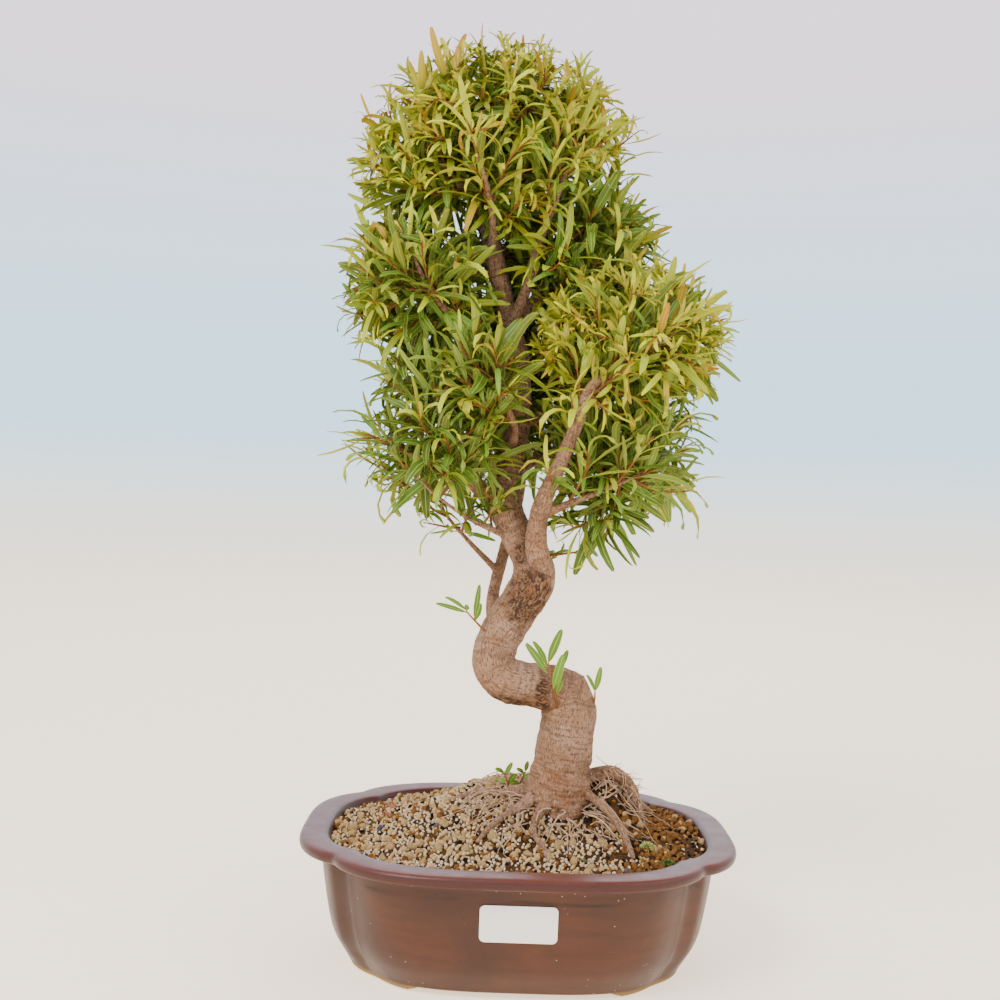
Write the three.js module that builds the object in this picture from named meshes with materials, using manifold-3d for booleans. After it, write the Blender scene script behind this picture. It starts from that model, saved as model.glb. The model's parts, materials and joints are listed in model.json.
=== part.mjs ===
// Willow leaf fig bonsai in a glazed ceramic pot, in millimetres, +Z up.
// The origin is the middle of the pot's footprint on the surface it stands on, and -Y is the front.
import * as THREE from "three";
import { mergeVertices } from "three/addons/utils/BufferGeometryUtils.js";
import Module from "manifold-3d";

const wasm = await Module();
wasm.setup();

const SEED = 11;
const GAP = 0.3;
const WELD = 1e-4;
const TURN = 2 * Math.PI;
const GOLDEN_ANGLE = Math.PI * (3 - Math.sqrt(5));

// The pot's plan: two end lobes across X and two bowed panels across Y, which meet in four notches.
const POT_HEIGHT = 64;
const LOBE = { halfWidth: 107.2, halfDepth: 68.5, power: 3.4 };
const PANEL = { halfWidth: 93.6, halfDepth: 85.2, power: 3.4 };
const NOTCH_SHARPNESS = 50;
const NOTCH_ANGLE = THREE.MathUtils.degToRad(33.4);
const LOBE_STEPS = 4;
const PANEL_STEPS = 7;

// The pot's section, as how far each point lies inside the rim's outline and how high it is.
const FLOOR_UNDERSIDE = 5;
const FLOOR_TOP = 11;
const OUTER_SECTION = [
  [34, FLOOR_UNDERSIDE],
  [33, 0],
  [26, 0],
  [24.5, 4],
  [21.5, 9],
  [18, 15],
  [15.6, 22],
  [13.6, 33],
  [11.2, 49],
  [10.8, 57],
  [1.2, 58],
  [0, 60],
  [0, 62.5],
  [1.8, POT_HEIGHT],
];
const INNER_SECTION = [
  [12.5, POT_HEIGHT],
  [14.5, 61.5],
  [17.2, 52],
  [20, 32],
  [24, 17],
  [30, FLOOR_TOP],
];
const FOOT_CUT = { height: 2.5, slope: 5, front: 49, side: 27 };
const DRAIN = { radius: 10, across: 42, sides: 16 };
const DRAIN_MESH = { side: 28, thickness: 0.8, holes: 3, bar: 2 };

// The plain label on the front wall, with its middle as x and z.
const LABEL = {
  width: 35.2, height: 17.6, corner: 2.5, thickness: 0.4, middle: [0.4, 39.8], columns: 4, rows: 2, passes: 8,
};

// The potting mix: a broad mound with two lumps, each with its middle, height and spread, and grains on it.
const MIX = { edge: 60, mound: 18, middle: [8, 12], reach: [62, 52], fall: 2.6 };
const LUMPS = [
  { middle: [-12, 30], height: 5, spread: 24 },
  { middle: [45, 8], height: 6, spread: 14 },
];
const GRAIN = { spacing: 9.6, lift: 1.8, drift: 2.2 };

// Routes of the wood, each point as x, y, z and the width there.
const TRUNK_SIDES = 8;
const BRANCH_SIDES = 5;
const TWIG_SIDES = 4;
const TRUNK = [
  [[19, 0, 48, 30], [19, 0, 64, 37], [19, 0, 76, 35], [21, 0, 92, 30], [23, -1, 110, 28.5], [24, -2, 125, 27],
    [21, -3, 136.5, 20.5], [17, -4, 143, 10]],
  [[27, -3, 131, 22], [18, -4, 134, 24], [6, -7, 136, 22.5], [-6, -8, 138, 22], [-13, -7, 141, 20],
    [-19, -6, 144, 12]],
  [[-11, -7, 134, 14], [-14, -6, 143, 21], [-14.5, -2, 153, 22], [-9.5, 1, 164, 22], [-2, 3, 176, 22],
    [4, 2, 188, 22.4], [2.5, 0, 199, 20], [-5, -1, 210, 16.4], [-10.5, 0, 224, 16.8], [-10, 3, 246, 13.8],
    [-6, 6, 270, 12.2], [-7, 7, 298, 11.4], [-14, 5, 324, 10.2], [-23, 3, 358, 9], [-30, 1, 388, 6],
    [-27, -3, 418, 3.6], [-20, -4, 438, 2]],
];
const ROOTS = {
  front_right: [[24, -2, 88, 8], [34, -8, 83, 5], [44, -19, 77, 4.2], [50, -32, 71, 3.8], [54, -47, 63, 2.6]],
  arch: [[26, 4, 84, 8], [40, 5, 90, 7.4], [49, 6, 90.5, 7], [57, 5, 84, 6.2], [62, 3, 72, 5]],
  front: [[18, -8, 80, 10], [10, -20, 75.5, 4.8], [7, -34, 70.5, 3.6], [12, -46, 66, 2.8], [14, -54, 61, 2]],
  front_left: [[12, -5, 82, 10], [-1, -15, 76, 4.8], [-12, -26, 71.5, 3.6], [-20, -38, 65.5, 2.4]],
  left: [[10, 1, 82, 10], [-8, 3, 79, 4.8], [-24, 7, 77, 3.6], [-38, 10, 71, 2.4]],
  back_left: [[14, 7, 84, 10], [4, 20, 81, 4.8], [-6, 34, 80.5, 3.6], [-13, 47, 73.5, 2.4]],
  back_right: [[25, 7, 84, 10], [38, 20, 78.5, 4.8], [48, 33, 71.8, 3.6], [54, 43, 66.5, 2.4]],
};
const BRANCHES = {
  right_stem: [[8, -1, 192, 13], [4, -15, 210, 11.4], [6, -23, 226, 9.8], [12, -30, 242, 8.6],
    [20, -38, 263, 7.6], [28, -44, 284, 6.2], [44, -46, 295, 4.6], [57, -46, 304, 3.2], [68, -45, 312, 2]],
  left_low: [[-9, 0, 220, 10], [-24, -7, 233, 8.6], [-36, -13, 248, 6.4], [-42, -18, 262, 4.4],
    [-46, -22, 277, 2.4]],
  left_low_side: [[-34, -12, 243, 4.4], [-50, -19, 246, 3], [-58, -22, 249, 2.4], [-65, -24, 252, 1.8]],
  left_mid: [[-7, 6, 291, 6.6], [-28, 12, 298, 5.2], [-50, 13, 305, 4.4], [-66, 11, 312, 3.2],
    [-76, 8, 317, 2]],
  left_upper: [[-9, 6, 302, 6.2], [-28, -12, 309, 5], [-44, -23, 320, 3.8], [-54, -28, 333, 2.8],
    [-60, -30, 345, 1.8]],
  top_left: [[-28, 1, 374, 5.4], [-42, -10, 386, 4], [-55, -15, 397, 2.8], [-65, -17, 405, 1.8]],
  fork_front: [[-12, 5, 315, 7.4], [-5, -6, 332, 5.6], [0, -14, 352, 4.4], [8, -21, 374, 3.2],
    [15, -26, 396, 1.8]],
  fork_right: [[-10, 6, 312, 7.2], [4, 11, 337, 5.2], [17, 17, 363, 3.8], [28, 20, 380, 2.8],
    [36, 20, 394, 1.8]],
  right_low: [[5, -20, 221, 5.4], [20, -24, 228, 3.8], [36, -28, 235, 2.8], [51, -30, 242, 1.8]],
  right_mid: [[-6, 6, 266, 6.6], [12, 22, 275, 4.8], [32, 33, 283, 3.8], [54, 40, 291, 2.8],
    [74, 42, 298, 1.8]],
  back_stem: [[-13, 4, 156, 8], [-16.5, 20, 174, 6.8], [-11, 29, 201, 6.4], [-4, 36, 232, 6],
    [-3, 42, 266, 5.2], [-8, 49, 300, 4], [-14, 54, 338, 2.2]],
  back_stem_side: [[-14, 25, 190, 4], [-29, 18, 205, 2.8], [-39, 12, 216, 2.2], [-46, 8, 225, 1.8]],
  left_thin: [[-10, -4, 210, 4], [-30, -13, 219, 2.6], [-46, -20, 230, 2], [-57, -24, 240, 1.8]],
  back_right: [[-9, 4, 242, 7], [6, 22, 250, 5], [24, 42, 261, 3.8], [42, 56, 273, 2.6], [52, 63, 283, 1.8]],
  back_left: [[-3, 40, 250, 5.6], [-24, 52, 262, 3.8], [-44, 60, 273, 2.8], [-60, 63, 284, 1.8]],
  back_top: [[-20, 4, 344, 6], [-16, 22, 358, 4], [-10, 40, 373, 2.8], [-5, 53, 387, 1.8]],
  front_low: [[-10, 2, 254, 6], [-8, -22, 263, 4], [-13, -38, 275, 2.8], [-17, -50, 289, 1.8]],
  front_top: [[-23, 3, 350, 6], [-22, -18, 362, 4], [-25, -36, 376, 2.8], [-30, -47, 389, 1.8]],
};

// The crown's leafy clumps, each with its middle and its reach along X, Y and Z.
const CLUMPS = [
  { name: "top", middle: [-22, 0, 404], reach: [77, 66, 61] },
  { name: "upper_right", middle: [24, 14, 356], reach: [44, 56, 48] },
  { name: "left", middle: [-58, 0, 328], reach: [47, 58, 52] },
  { name: "right", middle: [48, -20, 300], reach: [54, 56, 46] },
  { name: "low_left", middle: [-50, -12, 250], reach: [52, 50, 38] },
  { name: "low_right", middle: [40, -2, 248], reach: [52, 58, 44] },
  { name: "back", middle: [-8, 48, 296], reach: [62, 35, 64] },
  { name: "front", middle: [-14, -46, 292], reach: [36, 32, 40] },
];
const CLUMP_TRIES = 24;
const CLUMP_CORE = 0.9;
const CROWN_BOUND = [104.5, 85];

// A twig may start at a bud of the crown's wood; it ends a leaf's reach inside its clump's outside.
const BUD = { apart: 4, lowest: 200, trunkStart: 8, spacing: 8 };
const SPRAY = {
  leaves: 8, leafReach: 21, tipLength: 14, length: 34, longest: 60, turning: 40, apart: 35,
  buttWidth: 2.6, tipWidth: 2, sag: 0.1, trim: 0.2,
};

// Ranges are low and high; angles are in radians; the lift tips a leaf up or down.
const LEAF = {
  length: 30, width: 4.8, sunk: 0.5, bend: 0.2, tries: 8, retryTurn: 0.7, turn: [-0.5, 0.5],
  spread: [0.45, 0.95], endSpread: [0, 0.2], endShare: 0.95, lift: [-0.125, 0.25], faceOut: -0.5, faceOn: 0.6,
  lengths: [0.82, 1.14], widths: [0.85, 1.1], bends: [0.3, 1.3],
  outline: [{ share: 0.15, wide: 0.58, keel: 1.2 }, { share: 0.58, wide: 1, keel: 0.9 }],
};
const YOUNG = { above: 380, front: -30 };

// Young shoots low on the wood, from the middle of the wood out to the shoot's end.
const SHOOT_SIZE = 0.72;
const SHOOTS = {
  shoot_left: { route: [[-12, -2, 160], [-31, -8, 172]], leaves: 5 },
  shoot_front: { route: [[16, -6, 130], [12, -24, 147]], leaves: 6 },
  shoot_right: { route: [[24, -2, 124], [40, -4, 134]], leaves: 3 },
  shoot_back_stem: { route: [[-40, 11, 218], [-62, 3, 231]], leaves: 6 },
  shoot_fork: { route: [[4, 1, 201], [29, -8, 204]], leaves: 6 },
};

const COLOURS = {
  glaze: { color: 0x6e4a44, roughness: 0.25, metalness: 0 },
  mix: { color: 0xa9805a, roughness: 0.95, metalness: 0 },
  bark: { color: 0x9c7860, roughness: 0.85, metalness: 0 },
  young: { color: 0xa8b83c, roughness: 0.5, metalness: 0 },
  leaf: { color: 0x55792c, roughness: 0.5, metalness: 0 },
  paper: { color: 0xf2f0ec, roughness: 0.6, metalness: 0 },
  mesh: { color: 0x2b2d2b, roughness: 0.7, metalness: 0 },
};

// A repeatable number from 0 to 1 for a set of whole numbers.
function chance(...keys) {
  let hash = SEED;
  for (const key of keys) {
    hash = Math.imul(hash ^ (key + 0x9e3779b9), 0x85ebca6b);
    hash ^= hash >>> 13;
  }
  hash = Math.imul(hash, 0xc2b2ae35);
  hash ^= hash >>> 16;
  return (hash >>> 0) / 2 ** 32;
}

function between(low, high, ...keys) {
  return low + (high - low) * chance(...keys);
}

function vector(values) {
  return new THREE.Vector3(values[0], values[1], values[2]);
}

function solidOf(geometry) {
  const bare = geometry.clone();
  bare.deleteAttribute("normal");
  bare.deleteAttribute("uv");
  const merged = mergeVertices(bare, WELD);
  const vertProperties = merged.attributes.position.array;
  const triVerts = new Uint32Array(merged.index.array);
  return new wasm.Manifold(new wasm.Mesh({ numProp: 3, vertProperties, triVerts }));
}

// The biggest of a solid's separate bodies, so that a loose scrap of a cut is dropped.
function mainBody(solid) {
  const bodies = solid.decompose();
  return bodies.reduce((best, body) => (body.volume() > best.volume() ? body : best));
}

function meet(one, other) {
  return one.intersect(other).volume() > 0;
}

function boxesMeet(one, other) {
  const a = one.boundingBox();
  const b = other.boundingBox();
  return [0, 1, 2].every((axis) => a.min[axis] < b.max[axis] && b.min[axis] < a.max[axis]);
}

// A closed body through rings of points that turn counter-clockwise seen from the end point.
// It starts at a point too, or else with its first ring closed flat.
function skin(rings, end, start = null) {
  const sides = rings[0].length;
  const points = [...rings.flat(), end];
  const faces = [];
  rings.forEach((ring, row) => {
    for (let side = 0; side < sides; side += 1) {
      const a = row * sides + side;
      const b = row * sides + ((side + 1) % sides);
      if (row === rings.length - 1) faces.push(a, b, points.length - 1);
      else faces.push(a, b, b + sides, a, b + sides, a + sides);
      if (row === 0 && start) faces.push(b, a, points.length);
    }
  });
  if (start) points.push(start);
  else for (let side = 1; side < sides - 1; side += 1) faces.push(0, side + 1, side);
  const geometry = new THREE.BufferGeometry().setFromPoints(points);
  geometry.setIndex(faces);
  return solidOf(geometry);
}

// The distance from the pot's middle to the rim's outline.
function rimRadius(angle) {
  const across = Math.abs(Math.cos(angle));
  const deep = Math.abs(Math.sin(angle));
  const reach = ({ halfWidth, halfDepth, power }) =>
    ((across / halfWidth) ** power + (deep / halfDepth) ** power) ** (-1 / power);
  return (reach(LOBE) ** NOTCH_SHARPNESS + reach(PANEL) ** NOTCH_SHARPNESS) ** (1 / NOTCH_SHARPNESS);
}

// The angles round the pot, with one in each notch.
function potAngles() {
  const quarter = [];
  for (let step = 0; step < LOBE_STEPS; step += 1) quarter.push((step / LOBE_STEPS) * NOTCH_ANGLE);
  for (let step = 0; step < PANEL_STEPS; step += 1) {
    quarter.push(NOTCH_ANGLE + (step / PANEL_STEPS) * (TURN / 4 - NOTCH_ANGLE));
  }
  const mirrored = quarter.slice(1).map((angle) => TURN / 2 - angle).reverse();
  const half = [...quarter, TURN / 4, ...mirrored];
  return [...half, ...half.map((angle) => angle + TURN / 2)];
}

// The rim's outline drawn in by an inset at its ends and at the middle of its panels.
function potRing([inset, height], clearance = 0) {
  const across = 1 - (inset + clearance) / LOBE.halfWidth;
  const deep = 1 - (inset + clearance) / PANEL.halfDepth;
  return potAngles().map((angle) => {
    const radius = rimRadius(angle);
    return new THREE.Vector3(across * radius * Math.cos(angle), deep * radius * Math.sin(angle), height);
  });
}

function block(width, depth, height, x, y, z) {
  return solidOf(new THREE.BoxGeometry(width, depth, height).translate(x, y, z));
}

// A low cut with sloping ends through the foot ring, across the pot along Y.
function footCut(halfLength) {
  const { height, slope } = FOOT_CUT;
  const shape = new THREE.Shape();
  shape.moveTo(-halfLength, -1);
  shape.lineTo(halfLength, -1);
  shape.lineTo(halfLength, 0);
  shape.lineTo(halfLength - slope, height);
  shape.lineTo(slope - halfLength, height);
  shape.lineTo(-halfLength, 0);
  const depth = 4 * POT_HEIGHT;
  const geometry = new THREE.ExtrudeGeometry(shape, { depth, bevelEnabled: false });
  return geometry.translate(0, 0, -depth / 2).rotateX(TURN / 4);
}

function makePot() {
  const rings = [...OUTER_SECTION, ...INNER_SECTION].map((point) => potRing(point));
  let pot = skin(rings, new THREE.Vector3(0, 0, FLOOR_TOP));
  pot = pot.subtract(solidOf(footCut(FOOT_CUT.front)));
  pot = pot.subtract(solidOf(footCut(FOOT_CUT.side).rotateZ(TURN / 4)));
  for (const side of [-1, 1]) {
    const hole = new THREE.CylinderGeometry(DRAIN.radius, DRAIN.radius, POT_HEIGHT / 2, DRAIN.sides);
    pot = pot.subtract(solidOf(hole.rotateX(TURN / 4).translate(side * DRAIN.across, 0, 0)));
  }
  return pot;
}

// A square plastic mesh that lies on the floor over a drain hole.
function makeDrainMesh(side) {
  const { side: length, thickness, holes, bar } = DRAIN_MESH;
  const middle = side * DRAIN.across;
  const pitch = (length - bar) / holes;
  let sheet = block(length, length, thickness, middle, 0, FLOOR_TOP + GAP + thickness / 2);
  for (let column = 0; column < holes; column += 1) {
    for (let row = 0; row < holes; row += 1) {
      const x = middle + (column - (holes - 1) / 2) * pitch;
      const y = (row - (holes - 1) / 2) * pitch;
      sheet = sheet.subtract(block(pitch - bar, pitch - bar, 2 * FLOOR_TOP, x, y, FLOOR_TOP));
    }
  }
  return sheet;
}

// How far the outer wall is drawn in from the rim's outline at a height.
function wallInset(height) {
  const above = OUTER_SECTION.findIndex(([, level]) => level > height);
  const [lowInset, lowLevel] = OUTER_SECTION[above - 1];
  const [highInset, highLevel] = OUTER_SECTION[above];
  return THREE.MathUtils.mapLinear(height, lowLevel, highLevel, lowInset, highInset);
}

// How far in front of the middle the front wall is at a place across and up.
function frontWall(x, height) {
  const inset = wallInset(height);
  const rimX = x / (1 - inset / LOBE.halfWidth);
  let rimY = PANEL.halfDepth;
  for (let pass = 0; pass < LABEL.passes; pass += 1) {
    const angle = Math.atan2(rimY, rimX);
    rimY = rimRadius(angle) * Math.sin(angle);
  }
  return -rimY * (1 - inset / PANEL.halfDepth);
}

// A thin plate that follows the front wall, trimmed to a rectangle with round corners.
function makeLabel() {
  const { width, height, corner, thickness, middle, columns, rows } = LABEL;
  const plate = new THREE.BoxGeometry(width, thickness, height, columns, 1, rows);
  plate.translate(middle[0], -GAP - thickness / 2, middle[1]);
  const place = plate.attributes.position;
  for (let i = 0; i < place.count; i += 1) {
    place.setY(i, place.getY(i) + frontWall(place.getX(i), place.getZ(i)));
  }
  const outline = new THREE.Shape();
  const right = width / 2;
  const top = height / 2;
  outline.moveTo(corner - right, -top);
  outline.absarc(right - corner, corner - top, corner, -TURN / 4, 0, false);
  outline.absarc(right - corner, top - corner, corner, 0, TURN / 4, false);
  outline.absarc(corner - right, top - corner, corner, TURN / 4, TURN / 2, false);
  outline.absarc(corner - right, corner - top, corner, TURN / 2, 0.75 * TURN, false);
  const depth = PANEL.halfDepth;
  const cutter = new THREE.ExtrudeGeometry(outline, { depth, bevelEnabled: false, curveSegments: 3 });
  cutter.rotateX(TURN / 4).translate(middle[0], 0, middle[1]);
  return solidOf(plate).intersect(solidOf(cutter));
}

// A tapered body with a ring at each point of a route, which may grow by a margin on each side.
function limb(route, sides, margin = 0) {
  const points = route.map(vector);
  const spine = new THREE.CatmullRomCurve3(points);
  const normal = new THREE.Vector3(0, 1, 0);
  const rings = points.map((centre, i) => {
    const along = spine.getTangent(i / (points.length - 1));
    normal.addScaledVector(along, -normal.dot(along)).normalize();
    return polygon(centre, along, normal, route[i][3] / 2 + margin, sides);
  });
  for (const point of rings[0]) point.addScaledVector(spine.getTangent(0), -margin);
  const end = points.at(-1).addScaledVector(spine.getTangent(1), route.at(-1)[3] / 4 + margin);
  return skin(rings, end);
}

// A ring of points round a centre, across the direction that the ring faces.
function polygon(centre, along, normal, radius, sides) {
  const binormal = along.clone().cross(normal);
  return Array.from({ length: sides }, (_, side) => {
    const angle = (side / sides) * TURN;
    return centre.clone()
      .addScaledVector(normal, radius * Math.cos(angle))
      .addScaledVector(binormal, radius * Math.sin(angle));
  });
}

// A thin twig with its rings all across its chord, so that its sides are flat.
function twig(route, margin = 0) {
  const points = route.map(vector);
  const along = points.at(-1).clone().sub(points[0]).normalize();
  const normal = new THREE.Vector3(0, 0, 1).addScaledVector(along, -along.z).normalize();
  const rings = points.map((centre, i) => {
    return polygon(centre, along, normal, route[i][3] / 2 + margin, TWIG_SIDES);
  });
  const end = points.at(-1).addScaledVector(along, route.at(-1)[3] / 4 + margin);
  return skin(rings, end);
}

function join(solids) {
  return solids.reduce((whole, solid) => whole.add(solid));
}

// The roots, the trunk and the branches as one body, with a margin all round where it cuts what it meets.
function makeWood(margin = 0) {
  return join([
    ...TRUNK.map((route) => limb(route, TRUNK_SIDES, margin)),
    ...Object.values(ROOTS).map((route) => limb(route, BRANCH_SIDES, margin)),
    ...Object.values(BRANCHES).map((route) => limb(route, BRANCH_SIDES, margin)),
  ]);
}

function mixHeight(x, y) {
  const away = Math.hypot((x - MIX.middle[0]) / MIX.reach[0], (y - MIX.middle[1]) / MIX.reach[1]);
  let height = MIX.edge + MIX.mound * Math.exp(-(away ** MIX.fall));
  for (const lump of LUMPS) {
    const distance = Math.hypot(x - lump.middle[0], y - lump.middle[1]) / lump.spread;
    height += lump.height * Math.exp(-distance * distance);
  }
  return height;
}

// The potting mix fills the pot's hollow, and its top is a mound with grains.
function makeMix(woodCutter) {
  const columns = Math.round((2 * LOBE.halfWidth) / GRAIN.spacing);
  const rows = Math.round((2 * PANEL.halfDepth) / GRAIN.spacing);
  const heap = new THREE.BoxGeometry(2 * LOBE.halfWidth, 2 * PANEL.halfDepth, 1, columns, rows, 1);
  const place = heap.attributes.position;
  for (let i = 0; i < place.count; i += 1) {
    const x = place.getX(i);
    const y = place.getY(i);
    if (place.getZ(i) < 0) {
      place.setZ(i, 0);
    } else {
      const keys = [Math.round(x), Math.round(y)];
      place.setX(i, x + between(-GRAIN.drift, GRAIN.drift, ...keys, 1));
      place.setY(i, y + between(-GRAIN.drift, GRAIN.drift, ...keys, 2));
      place.setZ(i, mixHeight(x, y) + between(-GRAIN.lift, GRAIN.lift, ...keys, 3));
    }
  }
  const walls = INNER_SECTION.map(([inset, height]) => [inset, Math.max(height, FLOOR_TOP + GAP)]).reverse();
  const rings = [...walls, [walls.at(-1)[0], 2 * POT_HEIGHT]].map((point) => potRing(point, 2 * GAP));
  const hollow = skin(rings, new THREE.Vector3(0, 0, 2 * POT_HEIGHT));
  let mix = solidOf(heap).intersect(hollow).subtract(woodCutter);
  const recess = DRAIN_MESH.side + 2 * GAP;
  const depth = 2 * (DRAIN_MESH.thickness + 2 * GAP);
  for (const side of [-1, 1]) {
    mix = mix.subtract(block(recess, recess, depth, side * DRAIN.across, 0, FLOOR_TOP));
  }
  return mainBody(mix);
}

// A lance-shaped blade with a keel below, arched away from its upper face.
function blade(leaf, margin = 0) {
  const side = leaf.face.clone().cross(leaf.along);
  const at = (share) => leaf.base.clone()
    .addScaledVector(leaf.along, share * leaf.length)
    .addScaledVector(leaf.face, -leaf.bend * leaf.length * share * share);
  const rings = LEAF.outline.map(({ share, wide, keel }) => {
    const upper = at(share).addScaledVector(leaf.face, keel / 3 + margin);
    return [
      upper.clone().addScaledVector(side, (wide * leaf.width) / 2 + margin),
      upper.clone().addScaledVector(side, (wide * leaf.width) / -2 - margin),
      upper.clone().addScaledVector(leaf.face, -keel - 3 * margin),
    ];
  });
  const root = at(0).addScaledVector(leaf.along, -LEAF.sunk);
  return skin(rings, at(1).addScaledVector(leaf.along, margin), root);
}

// Points along every branch and the upper trunk where a spray's twig may start.
function buds() {
  const crown = [TRUNK.at(-1).slice(BUD.trunkStart), ...Object.values(BRANCHES)];
  return crown.flatMap((route) => {
    const spine = new THREE.CatmullRomCurve3(route.map(vector));
    const count = Math.round(spine.getLength() / BUD.apart);
    return Array.from({ length: count }, (_, i) => spine.getPointAt((i + 1) / count));
  }).filter((point) => point.z > BUD.lowest);
}

function inClump(point, clump, share) {
  const [x, y, z] = ["x", "y", "z"].map((axis, i) => (point[axis] - clump.middle[i]) / clump.reach[i]);
  return Math.hypot(x, y, z) < share;
}

// A spray that goes on from the end of each branch.
function tipSprays() {
  return Object.entries(BRANCHES).map(([name, route]) => {
    const [before, last] = route.slice(-2).map(vector);
    const along = last.clone().sub(before).normalize();
    const end = last.clone().addScaledVector(along, SPRAY.tipLength);
    return { name: `spray_${name}_tip`, start: last, end };
  });
}

// Sprays that fill the rest of the crown, with their ends just inside the clumps and well apart.
function crownSprays() {
  const free = buds();
  const sprays = tipSprays();
  for (const clump of CLUMPS) {
    let number = 0;
    for (let k = 0; k < CLUMP_TRIES; k += 1) {
      const height = 1 - (2 * k + 1) / CLUMP_TRIES;
      const round = Math.sqrt(1 - height * height);
      const angle = k * GOLDEN_ANGLE;
      const out = new THREE.Vector3(round * Math.cos(angle), round * Math.sin(angle), height);
      const tip = out.clone().multiply(vector(clump.reach)).add(vector(clump.middle));
      if (CLUMPS.some((other) => other !== clump && inClump(tip, other, CLUMP_CORE))) continue;
      out.subVectors(tip, vector(clump.middle)).normalize();
      const end = tip.clone().addScaledVector(out, -SPRAY.leafReach);
      if (sprays.some((other) => other.end.distanceTo(end) < SPRAY.apart)) continue;
      const strain = (bud) => {
        const way = end.clone().sub(bud);
        return Math.abs(way.length() - SPRAY.length) + SPRAY.turning * (1 - way.normalize().dot(out));
      };
      const start = free.reduce((best, bud) => (strain(bud) < strain(best) ? bud : best));
      if (start.distanceTo(end) > SPRAY.longest) continue;
      for (let i = free.length - 1; i >= 0; i -= 1) {
        if (free[i].distanceTo(start) < BUD.spacing) free.splice(i, 1);
      }
      number += 1;
      sprays.push({ name: `spray_${clump.name}_${String(number).padStart(2, "0")}`, start, end });
    }
  }
  return sprays.map((spray) => ({ ...spray, leaves: SPRAY.leaves, size: 1 }));
}

function lowShoots() {
  return Object.entries(SHOOTS).map(([name, { route, leaves }]) => {
    return { name, start: vector(route[0]), end: vector(route[1]), leaves, size: SHOOT_SIZE };
  });
}

// The place at a share of a twig's way, which bends once, at its middle.
function onTwig({ start, end }, share) {
  const middle = start.clone().lerp(end, 0.5);
  middle.z -= SPRAY.sag * start.distanceTo(end);
  return share < 0.5 ? start.clone().lerp(middle, 2 * share) : middle.lerp(end, 2 * share - 1);
}

// A twig from a share of its way out to its end.
function twigFrom(spray, share, margin = 0) {
  const shares = [share, ...(share < 0.5 ? [0.5] : []), 1];
  const route = shares.map((at) => {
    return [...onTwig(spray, at), THREE.MathUtils.lerp(SPRAY.buttWidth, SPRAY.tipWidth, at)];
  });
  return twig(route, margin);
}

// The share of a twig's way at which it leaves the wood, found from its end inwards.
function twigButt(spray, woodCutter) {
  const step = SPRAY.trim / spray.start.distanceTo(spray.end);
  let share = 1 - 4 * step;
  while (share > step && !meet(twigFrom(spray, share - step), woodCutter)) share -= step;
  return share;
}

// The leaf numbered on a spray: they spiral up the twig, and the last goes on from its end.
function leafOf(spray, number, leafNumber, attempt) {
  const keys = [number, leafNumber, attempt];
  const last = leafNumber === spray.leaves - 1;
  const share = last ? LEAF.endShare : (leafNumber + 1.2) / (spray.leaves + 0.6);
  const base = onTwig(spray, THREE.MathUtils.lerp(spray.butt, 1, share));
  const axis = spray.end.clone().sub(base).normalize();
  const out = new THREE.Vector3(0, 0, 1).addScaledVector(axis, -axis.z).normalize();
  const turn = leafNumber * GOLDEN_ANGLE + attempt * LEAF.retryTurn + between(...LEAF.turn, ...keys, 1);
  out.applyAxisAngle(axis, turn);
  const spread = between(...(last ? LEAF.endSpread : LEAF.spread), ...keys, 2);
  const along = axis.clone().multiplyScalar(Math.cos(spread)).addScaledVector(out, Math.sin(spread));
  along.z += between(...LEAF.lift, ...keys, 3);
  along.normalize();
  const face = new THREE.Vector3(0, 0, 1);
  face.addScaledVector(out, LEAF.faceOut).addScaledVector(axis, LEAF.faceOn);
  face.addScaledVector(along, -face.dot(along)).normalize();
  const length = LEAF.length * spray.size * between(...LEAF.lengths, ...keys, 4);
  const width = LEAF.width * between(...LEAF.widths, ...keys, 5);
  const bend = LEAF.bend * between(...LEAF.bends, ...keys, 6);
  return { base, along, face, length, width, bend };
}

function insideBound(solid) {
  const { min, max } = solid.boundingBox();
  return [0, 1].every((axis) => min[axis] > -CROWN_BOUND[axis] && max[axis] < CROWN_BOUND[axis]);
}

// The twigs first, then their leaves, each where it is clear of the wood and of every other spray.
function makeSprays(woodCutter) {
  const sprays = [];
  for (const spray of [...crownSprays(), ...lowShoots()]) {
    const butt = twigButt(spray, woodCutter);
    const solid = twigFrom(spray, butt);
    const wide = twigFrom(spray, butt, GAP);
    const blocked = sprays.some((other) => boxesMeet(wide, other.solid) && meet(wide, other.solid));
    if (!blocked) sprays.push({ ...spray, butt, solid });
  }
  sprays.forEach((spray, number) => {
    for (let leafNumber = 0; leafNumber < spray.leaves; leafNumber += 1) {
      for (let attempt = 0; attempt < LEAF.tries; attempt += 1) {
        const leaf = leafOf(spray, number, leafNumber, attempt);
        const wide = blade(leaf, GAP);
        const others = [{ solid: woodCutter }, ...sprays.filter((other) => other !== spray)];
        const clear = others.every(({ solid }) => !boxesMeet(wide, solid) || !meet(wide, solid));
        if (clear && insideBound(wide)) {
          spray.solid = spray.solid.add(blade(leaf));
          break;
        }
      }
    }
  });
  return sprays;
}

function meshOf(name, solid, colour) {
  const { numProp, vertProperties, triVerts } = solid.getMesh();
  const geometry = new THREE.BufferGeometry();
  geometry.setAttribute("position", new THREE.BufferAttribute(vertProperties, numProp));
  geometry.setIndex(new THREE.BufferAttribute(triVerts, 1));
  const mesh = new THREE.Mesh(geometry, new THREE.MeshStandardMaterial(COLOURS[colour]));
  mesh.name = name;
  return mesh;
}

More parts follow.
